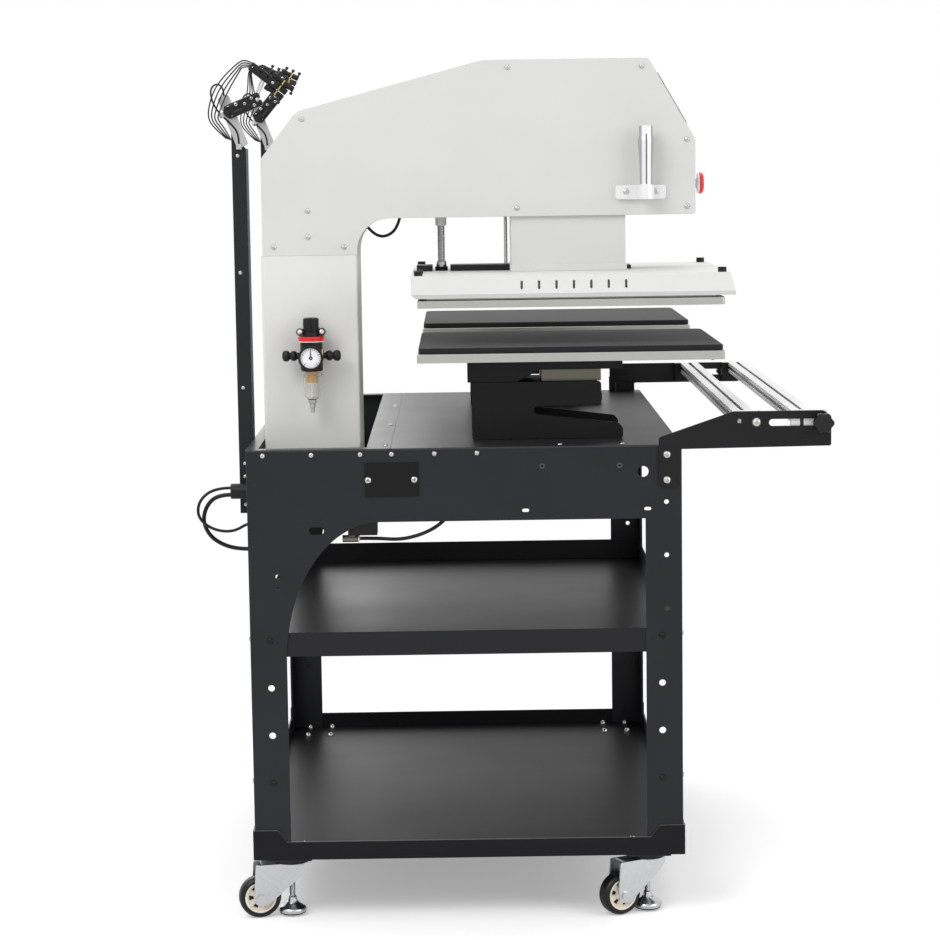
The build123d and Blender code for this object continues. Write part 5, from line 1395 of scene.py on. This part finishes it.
@dataclass
class LaserUnit:
    """Laser pointers on a tilting holder, with screws, barrels and lead loops."""

    side: str
    face_y: float
    tilt: float
    shift: tuple[float, float]
    head_tilt: float
    pivot: tuple[float, float] = (-482, 1346)
    wire: float = 2.3
    leads: int = 4
    highest: float = 1443.5

    def frames(self) -> tuple[Matrix, Matrix]:
        """Matrices of the holder and of the head block: X along, Y up in the side view, Z to the near side.

        Returns:
            The holder's matrix and the head's.
        """
        out = Vector((0, -1, 0))
        found = []
        for angle, place in (
            (math.radians(self.tilt), (self.pivot[0], self.face_y, self.pivot[1])),
            (
                -math.radians(self.head_tilt),
                (self.pivot[0] + self.shift[0], self.face_y - 7, self.pivot[1] + self.shift[1]),
            ),
        ):
            along = Vector((math.cos(angle), 0, math.sin(angle)))
            matrix = Matrix((along, out.cross(along), out)).transposed().to_4x4()
            matrix.translation = place
            found.append(matrix)
        return found[0], found[1]

    def holder(self) -> list[Any]:
        """Makes the hub, the holder's jaws and their bright screws, about the holder's frame.

        Returns:
            The pieces, not joined.
        """
        hub = turned("hub", [(0, 0), (8.4, 0), (9, 0.6), (9, 23.4), (8.4, 24), (0, 24)], 32)
        lower = block("lower jaw", (-5.6, -11.6, 4.2), (57.6, -0.6, 23.8), 4, 4)
        upper = block("upper jaw", (-5.6, 0.6, 4.2), (57.6, 11.6, 23.8), 4, 4)
        rib = block("rib", (4, -2, 6), (54, 2, 22), 0.4)
        raised = block("raised block", (22, -7, 20), (50, 11, 23.95), 1.2)
        pieces = [coated(piece, BLACK_PLASTIC) for piece in (hub, lower, upper, rib, raised)]
        clamp = block("clamp", (-14, -5, 6), (-5, 5, 18), 1.2)
        thumb = turned("thumb nut", [(0, 0), (4.2, 0), (4.6, 0.6), (4.6, 4.4), (4.2, 5), (0, 5)], 12)
        pieces += [coated(clamp, SCREW_METAL), coated(moved(thumb, turn_to(Way.REAR.value, (-13, 0, 12))), HOSE_METAL)]
        for x, y in ((2, -6), (2, 6), (16, 6.5), (30, 2), (44, -6), (44, 6), (52, 0)):
            screw = turned("screw", [(0, 22.6), (2.9, 22.6), (2.9, 23.6), (2.3, 24), (1.2, 24), (1.2, 23.3),
                                     (0, 23.3)], 16)
            pieces.append(coated(moved(screw, Matrix.Translation((x, y, 0))), SCREW_METAL))
        return pieces

    def head(self) -> list[Any]:
        """Makes the head block with its barrels, brass rings and adjusting screws, about the head's frame.

        Returns:
            The pieces, not joined.
        """
        core = block("core", (-28.6, -7.6, 0.4), (28.6, 7.6, 13.6), 2.4, 3)
        cheek = block("cheek", (-24, -4.2, 10), (14, 5, 14), 0.8)
        pieces = [coated(core, BLACK_PLASTIC), coated(cheek, KNOB_PLASTIC)]
        lens = [(0, 11), (5.6, 11), (6, 12), (6, 19.4), (5, 20), (5, 22), (4.4, 22.6), (4.4, 26),
                (5, 26.6), (5, 29.6), (4.4, 30.2), (4.4, 33.6), (5, 34.2), (5, 44.8), (4.2, 45.9), (2.6, 45.9),
                (2.4, 44), (0, 44)]
        ring = [(4.9, 30.6), (5.6, 30.6), (5.6, 33.2), (4.9, 33.2)]
        for row in (-1, 0, 1):
            matrix = Matrix.Translation((0, row * 11, 7)) @ Matrix.Rotation(math.radians(90), 4, "Y")
            pieces.append(coated(moved(turned("barrel", lens, 24), matrix), BLACK_PLASTIC))
            pieces.append(coated(moved(turned("ring", ring, 24, True), matrix), BRASS))
        stub = [(0, 0), (1.6, 0), (1.6, 3), (3, 3.4), (3, 7.4), (2.4, 8), (0, 8)]
        for index in range(5):
            for side in ((1,) if index < 3 else (-1, 1)):
                spot = (-8 + 13 * index, side * (7 if index < 2 else 15), 7)
                adjuster = turned("adjuster", stub, 16)
                pieces.append(coated(moved(adjuster, turn_to((0, float(side), 0), spot)), KNOB_PLASTIC))
        for x, y in ((-22, 0), (-8, 2), (6, 2), (18, 0)):
            screw = turned("screw", [(0, 12), (2.2, 12), (2.2, 13.6), (1.6, 14), (0, 14)], 16)
            pieces.append(coated(moved(screw, Matrix.Translation((x, y, 0))), SCREW_METAL))
        return pieces

    def lead(self, index: int, points: Sequence[Triple]) -> None:
        """Makes one thin lead on the tilting body.

        Args:
            index: Number of the lead.
            points: Its route, in millimetres.
        """
        name = f"laser_lead_{self.side}_{index}"
        metres = [tuple(value * MM for value in point) for point in points]
        lead = cable_piece(name, metres, self.wire * MM)
        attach(lead, self.side + "_laser")
        length = spline_length(metres)

    def build(self) -> None:
        """Joins the unit and strings its leads."""
        holder, head = self.frames()
        parts = [moved(piece, holder) for piece in self.holder()]
        parts += [moved(piece, head) for piece in self.head()]
        foot, end = holder @ Vector((46, 0, 14)), head @ Vector((0, 0, 7))
        length = (end - foot).length
        for offset in (-2.2, 2.2):
            rod = turned("rod", [(0, 0), (1.7, 0), (1.7, length), (0, length)], 16)
            lean = turn_to(tuple((end - foot).normalized()), tuple(foot))
            parts.append(coated(moved(rod, lean @ Matrix.Translation((offset, 0, 0))), SCREW_METAL))
        unit = placed(joined(f"laser_head_{self.side}.fitted", parts))
        kept(unit, self.side + "_laser", "black_plastic", "laser_head_" + self.side)
        for index in range(self.leads):
            start = head @ Vector((-28, 5 - 2.5 * index, 3 + 2.2 * index))
            inset, depth = 5.5 * index, self.face_y - 9 - 3 * index
            rise = min(7, self.highest - start.z) - 2 * index
            points = [
                tuple(start),
                tuple(start + Vector((-12, 0, rise))),
                tuple(start + Vector((-26 + inset / 2, -1, rise - 6 - index))),
                (self.pivot[0] - 20 + inset, depth, self.pivot[1] + 46 - inset),
                (self.pivot[0] - 33 + inset, depth - 1, self.pivot[1] + 14 - inset),
                (self.pivot[0] - 36 + inset, depth, self.pivot[1] - 12),
                (self.pivot[0] - 22 + inset, depth + 2, self.pivot[1] - 30),
                (self.pivot[0] - 6 + inset / 2, depth + 4, self.pivot[1] - 44 - index),
            ]
            self.lead(index, points)


def cable_piece(name: str, points: Sequence[Triple], diameter: float) -> Any:
    """Makes a smooth tube along a route.

    Args:
        name: Name of the piece.
        points: Control points in metres.
        diameter: Outer diameter in metres.

    Returns:
        The curve object.
    """
    curve = bpy.data.curves.new(name, "CURVE")
    curve.dimensions = "3D"
    curve.resolution_u = 16
    curve.bevel_depth = diameter / 2
    curve.bevel_resolution = 4
    curve.use_fill_caps = True
    spline = curve.splines.new("NURBS")
    spline.points.add(len(points) - 1)
    for control, point in zip(spline.points, points):
        control.co = (*point, 1)
    spline.order_u = 3
    spline.use_endpoint_u = True
    piece = bpy.data.objects.new(name, curve)
    bpy.context.collection.objects.link(piece)
    curve.materials.append(CABLE_SKIN.material())
    return piece


def spline_length(points: Sequence[Triple]) -> float:
    """Length of the smooth line through a route, in metres.

    Args:
        points: Control points in metres.

    Returns:
        The length.
    """
    bare = cable_piece("measure", points, 0)
    mesh = bpy.data.meshes.new_from_object(bare)
    places = [vertex.co for vertex in mesh.vertices]
    length = sum((b - a).length for a, b in zip(places, places[1:]))
    bpy.data.objects.remove(bare)
    bpy.data.meshes.remove(mesh)
    return length


@dataclass
class Lead:
    """One of the machine's own cables: its node, route in millimetres, diameter and tube length."""

    node: str
    diameter: float
    length: float
    points: tuple[Triple, ...]
    stiffness: str = "medium"

    def build(self) -> None:
        metres = [tuple(value * MM for value in point) for point in self.points]
        piece = cable_piece(self.node + ".smooth", metres, self.diameter * MM)
        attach(piece, BODY_OF[self.node])
        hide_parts(self.node)
        log.info("%s: %.1f mm", piece.name, self.length)


def laser_wire(y: float) -> tuple[Triple, ...]:
    """Route of a laser's wire loop from the post to the top plate."""
    flat = ((-468, 1293), (-468, 1311), (-481, 1327), (-499, 1343), (-511, 1363), (-514, 1384), (-503, 1394),
            (-491, 1386), (-491, 1372))
    return tuple((float(x), y, float(z)) for x, z in flat)


CABLES = (
    Lead("rear_cable_upper", 5, 202, (
        (-494, -371.5, 717), (-522, -371.5, 717), (-548, -375, 697), (-551, -379, 669),
        (-527, -382, 648), (-491, -384, 643), (-463, -385, 660), (-445, -385, 660))),
    Lead("rear_cable_lower", 7, 241.1, (
        (-494, -369, 705), (-516, -369, 705), (-536, -366, 688), (-544, -362, 660),
        (-532, -359, 632), (-505, -357, 615), (-474, -358, 610), (-446, -360, 612),
        (-429, -361, 629), (-429, -361, 652))),
    Lead("air_hose", 6, 193.7, (
        (-276, -478, 643.5), (-246, -478, 643.5), (-208, -480, 640.5), (-172, -481, 648.5),
        (-141, -483, 664.5), (-120, -484, 688.5), (-120, -484, 712))),
    Lead("laser_wire_near", 3, 145.4, laser_wire(-349.9), "limp"),
    Lead("laser_wire_far", 3, 145.4, laser_wire(290.1), "limp"),
    Lead("arm_cable", 5, 89.2, (
        (-259.6, -320, 1154.6), (-248.2, -320, 1140.2), (-230.2, -319.4, 1133.2), (-212.2, -319.2, 1142.2),
        (-203.2, -319.7, 1160.2), (-200.2, -320, 1173.2))),
)


@dataclass
class Studio:
    """Camera, lamps, pale floor and white surroundings."""

    place: Triple = (-100.8, -4686.6, 1266.15)
    yaw: float = 0.00255
    pitch: float = 0.12098
    roll: float = 0.01419
    lens: float = 98.64
    sensor: float = 36.0
    clip: float = 60.0
    shadow_reach: tuple[float, float] = (0.75, 1.5)
    ambient: Triple = (0.62, 0.8, 1)
    glow: tuple[float, float] = (1, 0.32)

    def camera(self) -> None:
        """Places the camera."""
        ahead = Vector((
            math.sin(self.yaw) * math.cos(self.pitch),
            math.cos(self.yaw) * math.cos(self.pitch),
            -math.sin(self.pitch),
        ))
        right = Vector((math.cos(self.yaw), -math.sin(self.yaw), 0))
        down = ahead.cross(right)
        side = right * math.cos(self.roll) + down * math.sin(self.roll)
        under = down * math.cos(self.roll) - right * math.sin(self.roll)
        data = bpy.data.cameras.new("camera")
        data.lens, data.sensor_width, data.clip_end = self.lens, self.sensor, self.clip
        camera = bpy.data.objects.new("camera", data)
        bpy.context.collection.objects.link(camera)
        camera.matrix_world = Matrix((side, -under, -ahead)).transposed().to_4x4()
        camera.location = Vector(self.place) * MM
        bpy.context.scene.camera = camera

    def lamp(self, name: str, place: Triple, aim: Triple, power: float, size: float) -> None:
        """Adds an area lamp aimed at a point, in metres and watts.

        Args:
            name: Name of the lamp.
            place: Where it stands.
            aim: Point it shines at.
            power: Power in watts.
            size: Width of the lamp in metres.
        """
        data = bpy.data.lights.new(name, "AREA")
        data.energy, data.size = power, size
        lamp = bpy.data.objects.new(name, data)
        lamp.visible_camera = False
        bpy.context.collection.objects.link(lamp)
        lamp.location = place
        lamp.rotation_euler = (Vector(aim) - Vector(place)).to_track_quat("-Z", "Y").to_euler()

    def world(self) -> None:
        """Grey ambient light, white to the camera and in reflections."""
        world = bpy.data.worlds.new("studio")
        bpy.context.scene.world = world
        world.use_nodes = True
        world.node_tree.nodes.clear()
        tree = Tree(world.node_tree)
        soft, glossy, white = (tree.node("ShaderNodeBackground", inputs={0: WHITE, 1: power}) for power in self.ambient)
        seen = tree.node("ShaderNodeMath", {"operation": "MAXIMUM"},
                         {0: tree.ray("Camera"), 1: tree.ray("Transmission")})
        shown = tree.blend(seen, tree.blend(tree.ray("Glossy"), soft, glossy), white)
        tree.tree.links.new(shown.socket, tree.tree.nodes.new("ShaderNodeOutputWorld").inputs[0])

    def floor(self) -> None:
        """Pale floor that keeps the object's shadow."""
        bpy.ops.object.select_all(action="DESELECT")
        bpy.ops.mesh.primitive_plane_add(size=40)
        ground = bpy.context.object
        ground.name = "studio_floor"
        graph = Graph("floor")
        graph.feed(Base_Color=(0.9, 0.9, 0.9, 1), Roughness=0.9, Specular_IOR_Level=0.1)
        paint = Value(graph, graph.surface.outputs[0])
        white, glow = (graph.node("ShaderNodeEmission", inputs={0: WHITE, 1: power}) for power in self.glow)
        lit = graph.node("ShaderNodeAddShader", inputs={0: paint, 1: glow})
        distance = graph.node("ShaderNodeVectorMath", {"operation": "LENGTH"}, {0: graph.position}, "Value")
        faded = graph.blend(graph.edge(distance, *self.shadow_reach), lit, white)
        shown = graph.blend(graph.ray("Camera"), paint, faded)
        graph.tree.links.new(shown.socket, graph.tree.nodes["Material Output"].inputs[0])
        ground.data.materials.append(graph.material)

    def build(self) -> None:
        """Sets up the studio."""
        bpy.context.scene.view_settings.view_transform = "Standard"
        self.camera()
        self.world()
        self.floor()
        self.lamp("key", (-2.2, -3, 3.6), (0, 0, 0.8), 75, 2.2)
        self.lamp("fill", (3, -2.4, 2.2), (0, 0, 0.8), 40, 2.4)
        self.lamp("top", (0.2, 0.6, 3.8), (0, 0, 0.8), 45, 2.6)
        self.lamp("back", (-1.3, 3.4, 1.7), (-0.2, 0, 0.8), 20, 2)


def main() -> None:
    """Builds the sub-assemblies in order."""
    logging.basicConfig(level=logging.INFO, format="%(name)s: %(message)s")
    studio = Studio()
    studio.build()
    for cable in CABLES:
        cable.build()
    near = LaserUnit("near", -348.3, 22, (60, 58), 38)
    far = LaserUnit("far", 291.7, 50, (31, 82), 25)
    for assembly in (Stand(), Platens(), Rails(), Casters(), Arm(), AirFilter(), PressHead(), near, far):
        assembly.build()


if __name__ == "__main__":
    main()
